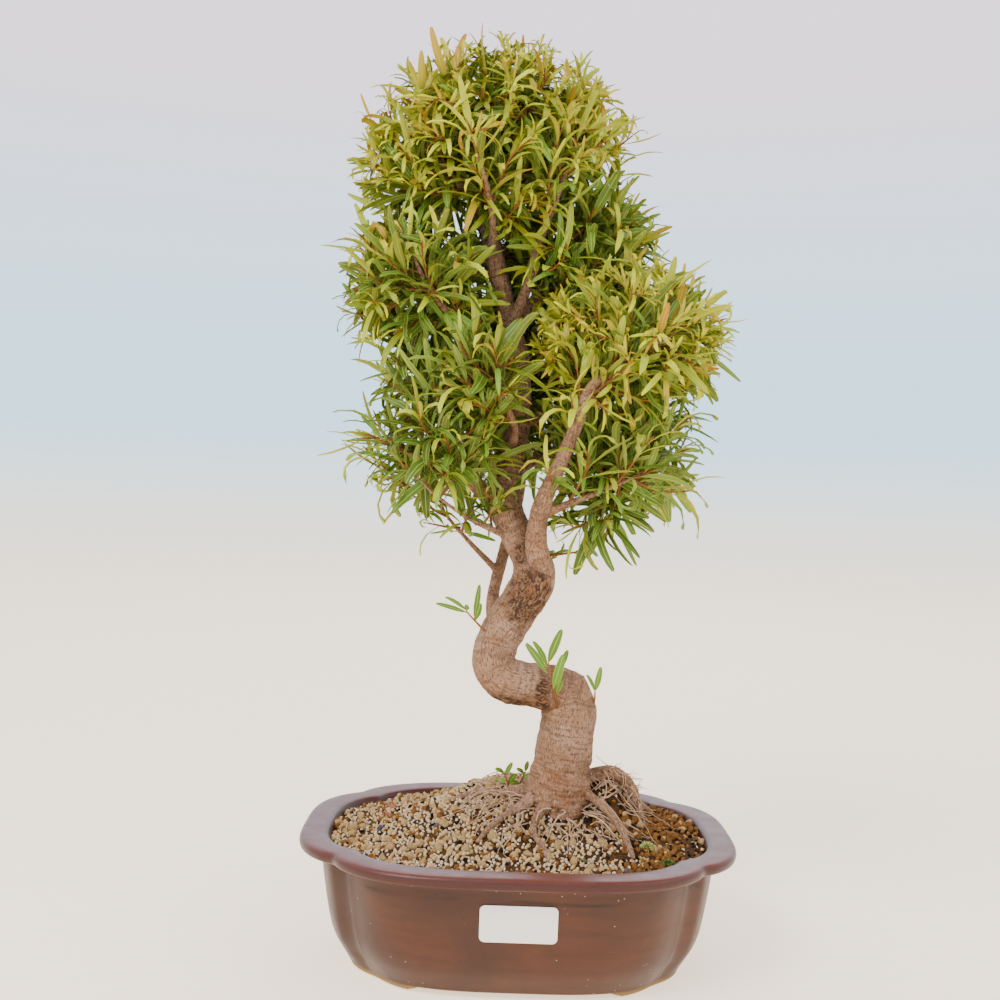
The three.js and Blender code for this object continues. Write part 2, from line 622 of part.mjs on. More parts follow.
const group = new THREE.Group();
group.name = "willow_leaf_fig_bonsai";
const woodCutter = makeWood(GAP);
group.add(meshOf("pot", makePot(), "glaze"));
group.add(meshOf("drain_mesh_left", makeDrainMesh(-1), "mesh"));
group.add(meshOf("drain_mesh_right", makeDrainMesh(1), "mesh"));
group.add(meshOf("potting_mix", makeMix(woodCutter), "mix"));
group.add(meshOf("trunk", makeWood(), "bark"));
group.add(meshOf("blank_label", makeLabel(), "paper"));
for (const spray of makeSprays(woodCutter)) {
  const young = spray.end.z > YOUNG.above || spray.end.y < YOUNG.front;
  group.add(meshOf(spray.name, spray.solid, young ? "young" : "leaf"));
}

export default group;
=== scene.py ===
"""Willow leaf fig bonsai in a glazed ceramic pot, dressed round its solids.

The tables are in millimetres, with +Z up and -Y to the front. The origin is the middle of the
pot's footprint. Meshes are made in metres.
"""

import json
import math
import random

import bmesh
import bpy
import numpy as np
from bpy.props import FloatProperty, FloatVectorProperty, IntProperty, PointerProperty
from mathutils import Matrix, Vector, noise

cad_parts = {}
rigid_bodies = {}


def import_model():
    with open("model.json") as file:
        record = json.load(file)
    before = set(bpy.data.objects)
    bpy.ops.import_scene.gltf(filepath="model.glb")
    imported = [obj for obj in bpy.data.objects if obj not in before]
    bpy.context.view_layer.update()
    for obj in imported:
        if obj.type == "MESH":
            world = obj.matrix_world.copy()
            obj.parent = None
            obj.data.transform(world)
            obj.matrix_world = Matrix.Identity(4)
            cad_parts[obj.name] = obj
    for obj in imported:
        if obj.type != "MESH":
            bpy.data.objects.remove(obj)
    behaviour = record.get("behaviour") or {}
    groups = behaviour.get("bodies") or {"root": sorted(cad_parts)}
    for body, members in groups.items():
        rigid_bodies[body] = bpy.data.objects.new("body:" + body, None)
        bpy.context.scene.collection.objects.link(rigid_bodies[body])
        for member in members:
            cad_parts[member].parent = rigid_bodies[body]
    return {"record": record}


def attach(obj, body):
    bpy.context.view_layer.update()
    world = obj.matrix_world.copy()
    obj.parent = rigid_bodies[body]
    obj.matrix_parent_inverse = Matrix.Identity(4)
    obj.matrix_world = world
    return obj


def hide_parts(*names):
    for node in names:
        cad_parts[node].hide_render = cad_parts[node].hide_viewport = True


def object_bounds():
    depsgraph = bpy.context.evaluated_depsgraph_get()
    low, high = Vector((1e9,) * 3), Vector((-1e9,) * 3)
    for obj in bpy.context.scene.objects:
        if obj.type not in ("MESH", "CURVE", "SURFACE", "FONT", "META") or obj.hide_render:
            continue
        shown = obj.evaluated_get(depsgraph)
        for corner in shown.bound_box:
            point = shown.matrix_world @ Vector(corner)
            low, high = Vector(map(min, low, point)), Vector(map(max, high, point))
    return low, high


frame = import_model()
CAD_BOX = [list(corner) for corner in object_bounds()]

bl_info = {
    "name": "Willow Leaf Fig Bonsai",
    "version": (1, 0, 0),
    "blender": (4, 5, 0),
    "location": "3D View > Sidebar > Bonsai",
    "description": "Builds a willow leaf fig bonsai in a glazed pot",
    "category": "Add Mesh",
}

MM = 0.001
TURN = 2 * math.pi
GOLDEN_ANGLE = math.pi * (3 - math.sqrt(5))
SEED = 11
UP = Vector((0, 0, 1))

# The pot's plan: two end lobes across X and two bowed panels across Y, which meet in four notches.
LOBE = (107.2, 68.5, 3.4)
PANEL = (93.6, 85.2, 3.4)
NOTCH_SHARPNESS = 50
NOTCH_ANGLE = math.radians(33.4)
LOBE_STEPS = 12

# Beside each notch the wall is hollowed to a cove that ends in an arris, and the lip is pinched.
COVE = {"start": math.radians(24.5), "depth": 2.5, "steps": 9, "arris": math.radians(0.25)}
PINCH = {"depth": 1.4, "spread": math.radians(2.6), "steps": 4, "step": math.radians(1.3)}
PANEL_STEPS = 20

# The pot's section, as how far each point lies inside the rim's outline and how high it is.
FLOOR_TOP = 11
FOOT = [(34, 5), (33, 0), (26, 0)]
WALL = [(24.5, 4), (21.5, 9), (18, 15), (15.6, 22), (13.6, 33), (11.2, 49), (10.8, 57)]
LIP = [(1.2, 58), (0, 60), (0, 62.5), (1.8, 64), (12.5, 64), (14.5, 61.5)]
INSIDE = [(17.2, 52), (20, 32), (24, 17), (30, FLOOR_TOP)]
FOOT_CUT = {"height": 2.5, "slope": 5, "front": 49, "side": 27}
BRUSH_LINE = 52.5
DRAIN = {"radius": 10, "across": 42, "sides": 40, "cut": (-5, 20)}
DRAIN_MESH = {"length": 28, "lift": 0.3, "bar": 0.9, "pitch": 2.72, "thickness": 0.45, "crossing": 0.35}
LABEL = {"corner": 2.5, "corner_steps": 8, "rings": (0.25, 0.5, 0.75, 0.97, 1.0), "bevel": 0.04,
         "middle": (0.4, 39.8), "lift": 0.3, "thickness": 0.2}

# Heights, or distances from the rim's outline or from a line, between which a glaze fades in; for the
# groove it is painted shade under the lip.
FADES = {
    "foot": (4, 0), "bare": (3.8, 2.6), "rim_up": (61.5, 63.4), "rim_out": (16, 13.5),
    "lip_up": (56.5, 58.5), "lip_down": (63.6, 61.8), "lip_out": (3.4, 1.6), "inner_edge": (2.2, 0.7),
    "inner_up": (60.5, 62.5), "groove": (1.6, 0),
}
UNGLAZED_INSET = 31
INNER_EDGE_INSET = 13.2
# The groove under the lip, where a band of painted shade is laid.
GROOVE = {"height": 57.3, "inset": 12}

# The potting mix: a broad mound with two lumps, each as its middle, height and spread.
MOUND = {"edge": 59, "height": 18, "middle": (8, 12), "reach": (62, 52), "fall": 2.6}
LUMPS = [((-12, 30), 5, 24), ((45, 8), 6, 14), ((45, 9), 10.5, 10.5)]
TRUNK_FOOT = Vector((19, 0))

# The mix's outline: its top's distance from the rim's outline, then inset and height down the wall.
BED_BOTTOM = FLOOR_TOP + 1.4
BED = {"inset": 15.5, "rings": 40, "wall": [(17.8, 52), (20.6, 32), (24.6, 17.2), (31, BED_BOTTOM)]}

# Patches of the mix: bare by the trunk, brown on the right, rooty before the arch and wet at the edge.
BARE_RADIUS = 17
BROWN_SIDE = (38, 62)
ROOTY_PATCH = ((30, -6), 26)
WET_PATCH = ((86, -22), 12)

# Routes of the wood, each point as x, y, z and the width there.
TRUNK = [
    [(19, 0, 48, 30), (19, 0, 64, 37), (19, 0, 76, 35), (21, 0, 92, 30), (23, -1, 110, 28.5),
     (24, -2, 125, 27), (21, -3, 136.5, 20.5), (17, -4, 143, 10)],
    [(27, -3, 131, 22), (18, -4, 134, 24), (6, -7, 136, 22.5), (-6, -8, 138, 22), (-13, -7, 141, 20),
     (-19, -6, 144, 12)],
    [(-11, -7, 134, 14), (-14, -6, 143, 21), (-14.5, -2, 153, 22), (-9.5, 1, 164, 22), (-2, 3, 176, 22),
     (4, 2, 188, 22.4), (2.5, 0, 199, 20), (-5, -1, 210, 16.4), (-10.5, 0, 224, 16.8), (-10, 3, 246, 13.8),
     (-6, 6, 270, 12.2), (-7, 7, 298, 11.4), (-14, 5, 324, 10.2), (-23, 3, 358, 9), (-30, 1, 388, 6),
     (-27, -3, 418, 3.6), (-20, -4, 438, 2)],
]
ROOTS = [
    [(24, -2, 88, 8), (34, -8, 83, 5), (44, -19, 77, 4.2), (50, -32, 71, 3.8), (54, -47, 63, 2.6)],
    [(26, 4, 84, 8), (40, 5, 90, 7.4), (49, 6, 90.5, 7), (57, 5, 84, 6.2), (62, 3, 72, 5)],
    [(18, -8, 80, 10), (10, -20, 75.5, 4.8), (7, -34, 70.5, 3.6), (12, -46, 66, 2.8), (14, -54, 61, 2)],
    [(12, -5, 82, 10), (-1, -15, 76, 4.8), (-12, -26, 71.5, 3.6), (-20, -38, 65.5, 2.4)],
    [(10, 1, 82, 10), (-8, 3, 79, 4.8), (-24, 7, 77, 3.6), (-38, 10, 71, 2.4)],
    [(14, 7, 84, 10), (4, 20, 81, 4.8), (-6, 34, 80.5, 3.6), (-13, 47, 73.5, 2.4)],
    [(25, 7, 84, 10), (38, 20, 78.5, 4.8), (48, 33, 71.8, 3.6), (54, 43, 66.5, 2.4)],
]
BRANCHES = [
    [(8, -1, 192, 13), (4, -15, 210, 10.8), (6, -23, 226, 9), (12, -30, 242, 7.6), (20, -38, 263, 6.6),
     (28, -44, 284, 5.6), (44, -46, 295, 4.6), (57, -46, 304, 3.2), (68, -45, 312, 2)],
    [(-9, 0, 220, 10), (-24, -7, 233, 8.6), (-36, -13, 248, 6.4), (-42, -18, 262, 4.4),
     (-46, -22, 277, 2.4)],
    [(-34, -12, 243, 4.4), (-50, -19, 246, 3), (-58, -22, 249, 2.4), (-65, -24, 252, 1.8)],
    [(-7, 6, 291, 6.6), (-28, 12, 298, 5.2), (-50, 13, 305, 4.4), (-66, 11, 312, 3.2), (-76, 8, 317, 2)],
    [(-9, 6, 302, 6.2), (-28, -12, 309, 5), (-44, -23, 320, 3.8), (-54, -28, 333, 2.8),
     (-60, -30, 345, 1.8)],
    [(-28, 1, 374, 5.4), (-42, -10, 386, 4), (-55, -15, 397, 2.8), (-65, -17, 405, 1.8)],
    [(-12, 5, 315, 7.4), (-5, -6, 332, 5.6), (0, -14, 352, 4.4), (8, -21, 374, 3.2), (15, -26, 396, 1.8)],
    [(-10, 6, 312, 7.2), (4, 11, 337, 5.2), (17, 17, 363, 3.8), (28, 20, 380, 2.8), (36, 20, 394, 1.8)],
    [(5, -20, 221, 5.4), (20, -24, 228, 3.8), (36, -28, 235, 2.8), (51, -30, 242, 1.8)],
    [(-6, 6, 266, 6.6), (12, 22, 275, 4.8), (32, 33, 283, 3.8), (54, 40, 291, 2.8), (74, 42, 298, 1.8)],
    [(-13, 4, 156, 8), (-16.5, 20, 174, 6.8), (-11, 29, 201, 6.4), (-4, 36, 232, 6), (-3, 42, 266, 5.2),
     (-8, 49, 300, 4), (-14, 54, 338, 2.2)],
    [(-14, 25, 190, 4), (-29, 18, 205, 2.8), (-39, 12, 216, 2.2), (-46, 8, 225, 1.8)],
    [(-10, -4, 210, 4), (-30, -13, 219, 2.6), (-46, -20, 230, 2), (-57, -24, 240, 1.8)],
    [(-9, 4, 242, 7), (6, 22, 250, 5), (24, 42, 261, 3.8), (42, 56, 273, 2.6), (52, 63, 283, 1.8)],
    [(-3, 40, 250, 5.6), (-24, 52, 262, 3.8), (-44, 60, 273, 2.8), (-60, 63, 284, 1.8)],
    [(-20, 4, 344, 6), (-16, 22, 358, 4), (-10, 40, 373, 2.8), (-5, 53, 387, 1.8)],
    [(-10, 2, 254, 6), (-8, -22, 263, 4), (-13, -38, 275, 2.8), (-17, -50, 289, 1.8)],
    [(-23, 3, 350, 6), (-22, -18, 362, 4), (-25, -36, 376, 2.8), (-30, -47, 389, 1.8)],
]

# The crown's leafy clumps, each as its middle, its reach along X, Y and Z, and its leaves' youth.
CLUMPS = [
    ((-20, 0, 404), (68, 62, 57), 0.85),
    ((-62, -4, 388), (32, 36, 34), 0.8),
    ((24, 14, 356), (46, 56, 48), 0.6),
    ((-58, 0, 336), (46, 56, 46), 0.6),
    ((-50, 4, 292), (34, 44, 30), 0.5),
    ((46, -20, 306), (50, 54, 44), 0.85),
    ((-45, -12, 256), (50, 48, 34), 0.5),
    ((44, -2, 258), (50, 56, 44), 0.45),
    ((32, -6, 222), (32, 30, 20), 0.45),
    ((-22, -12, 228), (22, 24, 18), 0.4),
    ((-8, 46, 296), (62, 36, 64), 0.35),
    ((2, 34, 366), (58, 40, 56), 0.4),
    ((-24, -42, 290), (30, 29, 35), 0.6),
]

# Single shoots that stand out of the crown: start, end, number of leaves, their size and youth.
LOW_SHOOTS = [((-40, 11, 218), (-62, 3, 231), 6, 0.72, 0.4), ((4, 1, 201), (29, -8, 204), 6, 0.72, 0.4),
              ((-34, 9, 213), (-50, 0, 215), 6, 0.72, 0.4),
              ((20, -40, 266), (17, -55, 276), 9, 0.95, 0.9), ((10, -30, 238), (8, -47, 243), 6, 0.8, 0.5),
              ((26, -44, 281), (32, -57, 272), 6, 0.8, 0.8), ((-10, -6, 224), (-22, -27, 232), 6, 0.8, 0.5),
              ((-12, 0, 425), (-8, -2, 446), 9, 1, 0.9), ((-70, -4, 405), (-87, -4, 416), 7, 0.6, 1),
              ((30, 0, 400), (46, -2, 412), 7, 0.8, 1), ((-78, 6, 318), (-92, 4, 320), 7, 0.8, 0.6),
              ((72, -30, 312), (88, -26, 318), 7, 0.8, 0.9),
              ((-70, -14, 258), (-86, -13, 256), 6, 0.8, 0.6)]

# Small shoots on the trunk and a seedling in the mix: the stem, then each leaf's base, tip and width.
SMALL_SHOOTS = [
    ([(-19, -7, 162), (-25, -9, 168), (-29.2, -10, 172.5)],
     [((-28.2, -10, 171.5), (-43.7, -12, 176.2), 2.6), ((-28.7, -10, 172.5), (-39.6, -6, 179.7), 2.2),
      ((-25, -9, 168), (-22.7, -13, 185.4), 3), ((-24.6, -9, 167.6), (-22.2, -7, 176), 3.4),
      ((-29.2, -10, 172.5), (-28.8, -11, 175.6), 2.6)]),
    ([(17.5, -13, 126), (15.6, -18, 135), (12, -21, 149.5)],
     [((12, -21, 144.2), (1.2, -24, 159), 4.2), ((11.9, -21, 147.2), (5.2, -17, 160.1), 3),
      ((11.8, -21, 149.1), (17.4, -25, 166), 4.2), ((14.8, -19, 136.2), (18.9, -24, 153.7), 4.6),
      ((15.1, -19, 143), (22.3, -14, 155.3), 3.2), ((16.4, -17, 133.9), (18.5, -20, 141.4), 3.4)]),
    ([(34, -5, 125), (36.1, -7, 129), (36.3, -8, 134)],
     [((36.3, -8, 134), (38.7, -10, 146.4), 3.2), ((36.3, -8, 134), (32.7, -5, 142.4), 2)]),
    ([(-5, 13, 76), (-5, 12, 81), (-7.5, 12, 87.5)],
     [((-7, 12, 86), (-3.5, 12, 92.4), 2.6), ((-7.5, 12, 87), (-11.4, 8, 90.5), 2.4),
      ((-6, 12, 83), (-11, 12, 83.6), 2.6), ((-5, 12, 82), (-1.6, 6, 88.2), 3)]),
    ([(0, 14, 76), (1, 12, 82), (3.4, 12, 88)],
     [((3.4, 12, 88), (4.6, 12, 93.4), 2.4), ((3, 12, 87), (-0.6, 10, 90.4), 2.2),
      ((2, 12, 84), (7, 10, 88), 2.8), ((1, 12, 82), (-4, 8, 83.4), 2.6),
      ((0.8, 12, 80), (6, 8, 81.6), 2.4)]),
]

# Moss on the mix, each tuft as its place in the plan and its width, and chips of bark.
MOSS = [((62, -31), 6.4, "pale"), ((70.3, -46), 5, "deep"), ((66.5, -48), 3.6, "deep"),
        ((30, -52), 3, "deep"), ((-22, -44), 2.6, "deep"), ((46, 8), 3.4, "deep")]
CHIPS = [((-67, 28), 9, 0.4), ((-65, 8), 9.5, 0.4), ((-17, 60), 8, 0.5), ((-52, 12), 5, 0.6)]


def paint(code):
    """A colour from its six hexadecimal digits, as linear red, green and blue."""
    parts = [int(code[i:i + 2], 16) / 255 for i in (0, 2, 4)]
    return tuple(c / 12.92 if c < 0.04045 else ((c + 0.055) / 1.055) ** 2.4 for c in parts)


class BonsaiPotSettings(bpy.types.PropertyGroup):
    """The pot's and the label's sizes and colours."""

    glaze: FloatVectorProperty(
        name="Glaze", description="Colour of the glaze on the wall", subtype="COLOR",
        default=paint("3e231a"), min=0, max=1)
    warm_glaze: FloatVectorProperty(
        name="Warm Glaze", description="Colour where the clay shows warm through the glaze",
        subtype="COLOR", default=paint("512c1b"), min=0, max=1)
    rim_glaze: FloatVectorProperty(
        name="Rim Glaze", description="Colour of the thick glaze on top of the rim", subtype="COLOR",
        default=paint("6f3d33"), min=0, max=1)
    # Also the colour of the painted shade in the groove under the lip.
    edge_glaze_and_groove_shade: FloatVectorProperty(
        name="Edge Glaze", description="Colour of the thin glaze on edges", subtype="COLOR",
        default=paint("3f1817"), min=0, max=1)
    clay: FloatVectorProperty(
        name="Clay", description="Colour of the bare clay of the foot", subtype="COLOR",
        default=paint("8c7040"), min=0, max=1)
    label_width: FloatProperty(
        name="Label Width", description="Width of the plain label", unit="LENGTH", default=35.2 * MM)
    label_height: FloatProperty(
        name="Label Height", description="Height of the plain label", unit="LENGTH", default=17.6 * MM)


class BonsaiMixSettings(bpy.types.PropertyGroup):
    """The potting mix's grain sizes and colours."""

    pumice_size: FloatProperty(
        name="Pumice Size", description="Mean width of a pumice grain", unit="LENGTH",
        default=2.5 * MM)
    clay_size: FloatProperty(
        name="Clay Grain Size", description="Mean width of a baked clay grain", unit="LENGTH",
        default=4.6 * MM)
    pumice: FloatVectorProperty(
        name="Pumice", description="Colour of the pumice", subtype="COLOR",
        default=paint("fbeed4"), min=0, max=1)
    tan_clay: FloatVectorProperty(
        name="Tan Clay", description="Colour of the light clay grains", subtype="COLOR",
        default=paint("e0b678"), min=0, max=1)
    brown_clay: FloatVectorProperty(
        name="Brown Clay", description="Colour of the dark clay grains", subtype="COLOR",
        default=paint("a66e30"), min=0, max=1)
    humus: FloatVectorProperty(
        name="Humus", description="Colour of the soil between the grains", subtype="COLOR",
        default=paint("24170f"), min=0, max=1)


class BonsaiWoodSettings(bpy.types.PropertyGroup):
    """The bark's relief and colours."""

    voxel: FloatProperty(
        name="Detail", description="Size of the faces of the wood", unit="LENGTH", default=0.85 * MM,
        min=0.4 * MM)
    bark: FloatVectorProperty(
        name="Bark", description="Main colour of the bark", subtype="COLOR",
        default=paint("9c7658"), min=0, max=1)
    dark_bark: FloatVectorProperty(
        name="Dark Bark", description="Colour of cracks and old bark", subtype="COLOR",
        default=paint("5c4030"), min=0, max=1)
    twig: FloatVectorProperty(
        name="Twig", description="Colour of young twigs and petioles", subtype="COLOR",
        default=paint("8a5a35"), min=0, max=1)


class BonsaiLeafSettings(bpy.types.PropertyGroup):
    """The leaves' size and colours."""

    length: FloatProperty(
        name="Length", description="Length of a full-grown leaf", unit="LENGTH", default=26 * MM)
    width: FloatProperty(
        name="Width", description="Width of a full-grown leaf", unit="LENGTH", default=3.6 * MM)
    spacing: FloatProperty(
        name="Shoot Spacing", description="Least distance between the tips of shoots",
        unit="LENGTH", default=14.5 * MM)
    young: FloatVectorProperty(
        name="Young Leaf", description="Colour of a young leaf", subtype="COLOR",
        default=paint("cacd2c"), min=0, max=1)
    mature: FloatVectorProperty(
        name="Mature Leaf", description="Colour of a full-grown leaf", subtype="COLOR",
        default=paint("568226"), min=0, max=1)
    seed: IntProperty(name="Seed", description="Number that picks another crown", default=SEED)


class BonsaiStageSettings(bpy.types.PropertyGroup):
    """The floor and the light round the part."""

    floor: FloatVectorProperty(
        name="Floor", description="Colour of the floor", subtype="COLOR",
        default=paint("f9e9d0"), min=0, max=1)
    backdrop: FloatVectorProperty(
        name="Backdrop", description="Colour of the backdrop behind the part", subtype="COLOR",
        default=paint("bfe2f0"), min=0, max=1)
    backdrop_top: FloatVectorProperty(
        name="Backdrop Top", description="Colour of the backdrop high above the part",
        subtype="COLOR", default=paint("e0d8e0"), min=0, max=1)
    light: FloatProperty(name="Light", description="Strength of the light", default=1, min=0)
    glow: FloatProperty(
        name="Glow", description="Light that the floor and the backdrop give off", default=1.2, min=0)


class Nodes:
    """Adds nodes to a tree; an input is a socket to link or a value to set."""

    def __init__(self, tree):
        self.tree = tree

    def add(self, kind, inputs=None, output=None, **settings):
        node = self.tree.nodes.new(kind)
        for name, value in settings.items():
            setattr(node, name, value)
        for name, value in (inputs or {}).items():
            self.put(self.find(node.inputs, name), value)
        return self.find(node.outputs, output) if output else node

    def find(self, sockets, name):
        return next(socket for socket in sockets if socket.name == name and socket.enabled)

    def put(self, socket, value):
        if isinstance(value, bpy.types.NodeSocket):
            self.tree.links.new(value, socket)
        else:
            socket.default_value = value


# How little the dull materials reflect.
MATT = 0.2


class Finish(Nodes):
    """A procedural material, with the patterns that its colour and relief are made of."""

    def __init__(self, name, coordinates="Object", **uniform):
        self.material = bpy.data.materials.new(name)
        self.material.use_nodes = True
        super().__init__(self.material.node_tree)
        self.shader = next(n for n in self.tree.nodes if n.type == "BSDF_PRINCIPLED")
        for socket, value in uniform.items():
            self.shader.inputs[socket.replace("_", " ")].default_value = value
        if coordinates == "Object":
            self.place = self.add("ShaderNodeTexCoord", output="Object")
        else:
            self.place = self.attribute(coordinates, "Vector")

    def attribute(self, name, output="Fac"):
        return self.add("ShaderNodeAttribute", output=output, attribute_name=name)

    def stretched(self, stretch):
        return self.add("ShaderNodeMapping", {"Vector": self.place, "Scale": stretch}, "Vector")

    def clouds(self, size, detail=3, stretch=None, warp=0):
        """Soft noise whose lumps are about a size in metres."""
        place = self.stretched(stretch) if stretch else self.place
        inputs = {"Vector": place, "Scale": 1 / size, "Detail": detail, "Distortion": warp}
        return self.add("ShaderNodeTexNoise", inputs, "Fac")

    def cells(self, size, stretch=None):
        """The distance from the middle of cells whose width is about a size in metres."""
        place = self.stretched(stretch) if stretch else self.place
        return self.add("ShaderNodeTexVoronoi", {"Vector": place, "Scale": 1 / size}, "Distance")

    def axis(self, name):
        return self.add("ShaderNodeSeparateXYZ", {"Vector": self.place}, name)

    def span(self, value, low, high, start=0.0, end=1.0):
        """The value's way from low to high, clamped, as a number from start to end."""
        inputs = {"Value": value, "From Min": low, "From Max": high, "To Min": start, "To Max": end}
        return self.add("ShaderNodeMapRange", inputs, "Result")

    def math(self, operation, first, second=0):
        node = self.add("ShaderNodeMath", operation=operation)
        self.put(node.inputs[0], first)
        self.put(node.inputs[1], second)
        return node.outputs[0]

    def times(self, first, second):
        return self.math("MULTIPLY", first, second)

    def plus(self, first, second):
        return self.math("ADD", first, second)

    def minus(self, first, second):
        return self.math("SUBTRACT", first, second)

    def blend(self, share, first, second):
        """From the first colour to the second by a share from 0 to 1."""
        colours = [tuple(c)[:3] + (1,) if not isinstance(c, bpy.types.NodeSocket) else c
                   for c in (first, second)]
        inputs = {"Factor": share, "A": colours[0], "B": colours[1]}
        return self.add("ShaderNodeMix", inputs, "Result", data_type="RGBA")

    def relief(self, height, distance, strength, under=None):
        """A bumped normal: how far the full height stands out in metres, on top of another."""
        inputs = {"Height": height, "Distance": distance, "Strength": strength}
        if under:
            inputs["Normal"] = under
        return self.add("ShaderNodeBump", inputs, "Normal")

    def done(self, colour, roughness=None, normal=None):
        self.put(self.shader.inputs["Base Color"], colour)
        if roughness is not None:
            self.put(self.shader.inputs["Roughness"], roughness)
        if normal is not None:
            self.put(self.shader.inputs["Normal"], normal)
        return self.material


def shade(colour, factor):
    return tuple(min(c * factor, 1) for c in colour)


def glaze_finish(pot):
    """Satin glaze: warm clouds on the wall, mauve on the rim, dark red on edges and as painted shade under
    the lip, pale specks and pits.
    """
    finish = Finish("glaze", Specular_IOR_Level=0.3, Coat_Weight=0.05, Coat_Roughness=0.2)
    clouds = finish.span(finish.clouds(0.06, 4, warp=0.6), 0.42, 0.66)
    colour = finish.blend(clouds, pot.glaze, pot.warm_glaze)
    streaks = finish.span(finish.clouds(0.02, 5, (0.7, 0.7, 5)), 0.45, 0.75, 0, 0.5)
    colour = finish.blend(streaks, colour, shade(pot.glaze, 0.72))
    wander = finish.times(finish.clouds(0.03, 2, (1, 1, 0.1)), 0.005)
    line = finish.minus(finish.plus(finish.axis("Z"), wander), BRUSH_LINE * MM)
    line = finish.span(finish.math("ABSOLUTE", line), 0.0003, 0.0013, 0.8, 0)
    line = finish.times(line, finish.span(finish.clouds(0.03, 2), 0.45, 0.6))
    colour = finish.blend(line, colour, shade(pot.glaze, 0.3))
    colour = finish.blend(finish.attribute("rim"), colour, pot.rim_glaze)
    # Dark red on thin edges, and painted shade in the groove under the lip.
    colour = finish.blend(finish.attribute("edge"), colour, pot.edge_glaze_and_groove_shade)
    mottle = finish.span(finish.clouds(0.003, 3), 0.35, 0.75, 0, 0.35)
    colour = finish.blend(mottle, colour, shade(pot.warm_glaze, 0.75))
    specks = finish.math("LESS_THAN", finish.cells(0.0042), 0.055)
    some = finish.math("GREATER_THAN", finish.clouds(0.012, 1), 0.5)
    colour = finish.blend(finish.times(specks, some), colour, paint("bba798"))
    pits = finish.math("LESS_THAN", finish.cells(0.0125, stretch=(1.1, 1, 1.2)), 0.045)
    colour = finish.blend(pits, colour, paint("221512"))
    grain = finish.clouds(0.0006, 2)
    clay = finish.blend(finish.span(grain, 0.3, 0.7), pot.clay, shade(pot.clay, 0.72))
    bare = finish.attribute("bare")
    colour = finish.blend(bare, colour, clay)
    gloss = finish.span(finish.clouds(0.01, 3), 0.3, 0.7, 0.3, 0.42)
    gloss = finish.plus(gloss, finish.times(bare, 0.5))
    normal = finish.relief(finish.clouds(0.014, 1), 0.0004, 0.25)
    normal = finish.relief(pits, -0.0003, 0.5, normal)
    normal = finish.relief(grain, 0.0002, 0.25, normal)
    return finish.done(colour, gloss, normal)


def paper_finish():
    """Smooth label paper with a faint fibre."""
    finish = Finish("label_paper", Roughness=0.55)
    fibre = finish.clouds(0.0007, 3, (1, 1, 2.5))
    colour = finish.blend(finish.span(fibre, 0.3, 0.7), paint("f4efec"), paint("ece5e1"))
    return finish.done(colour, normal=finish.relief(fibre, 0.00004, 0.3))


def plastic_finish():
    """Dull black plastic with a fine moulded grain."""
    finish = Finish("mesh_plastic", Roughness=0.6)
    grain = finish.clouds(0.0008, 2)
    colour = finish.blend(grain, paint("232523"), paint("343733"))
    return finish.done(colour, normal=finish.relief(grain, 0.0001, 0.4))


def grain_finish(name, light, dark, size, roughness=0.9):
    """Porous stone or baked clay, with each grain between the light and the dark tint, and painted shade in
    its pores.
    """
    finish = Finish(name, Roughness=roughness, Specular_IOR_Level=MATT)
    colour = finish.blend(finish.attribute("tint"), light, dark)
    dust = finish.clouds(size, 4)
    colour = finish.blend(finish.span(dust, 0.35, 0.7, 0, 0.6), colour, shade(dark, 0.62))
    # Darker in the pits of the pores: painted shade in the hollows.
    pores = finish.span(finish.cells(size * 0.6), 0.1, 0.5)
    colour = finish.blend(finish.span(pores, 0, 1, 0.35, 0), colour, shade(dark, 0.4))
    normal = finish.relief(pores, size * 0.35, 0.7)
    return finish.done(colour, normal=finish.relief(dust, size * 0.4, 0.5, normal))


def humus_finish(mix):
    """Dark crumbly soil between the grains."""
    finish = Finish("humus", Roughness=0.95, Specular_IOR_Level=MATT)
    crumbs = finish.cells(0.0016)
    clouds = finish.clouds(0.012, 4)
    colour = finish.blend(clouds, shade(mix.humus, 0.6), shade(mix.brown_clay, 0.6))
    colour = finish.blend(finish.span(crumbs, 0, 0.6, 0, 0.7), colour, mix.humus)
    return finish.done(colour, normal=finish.relief(crumbs, 0.0008, 0.8))


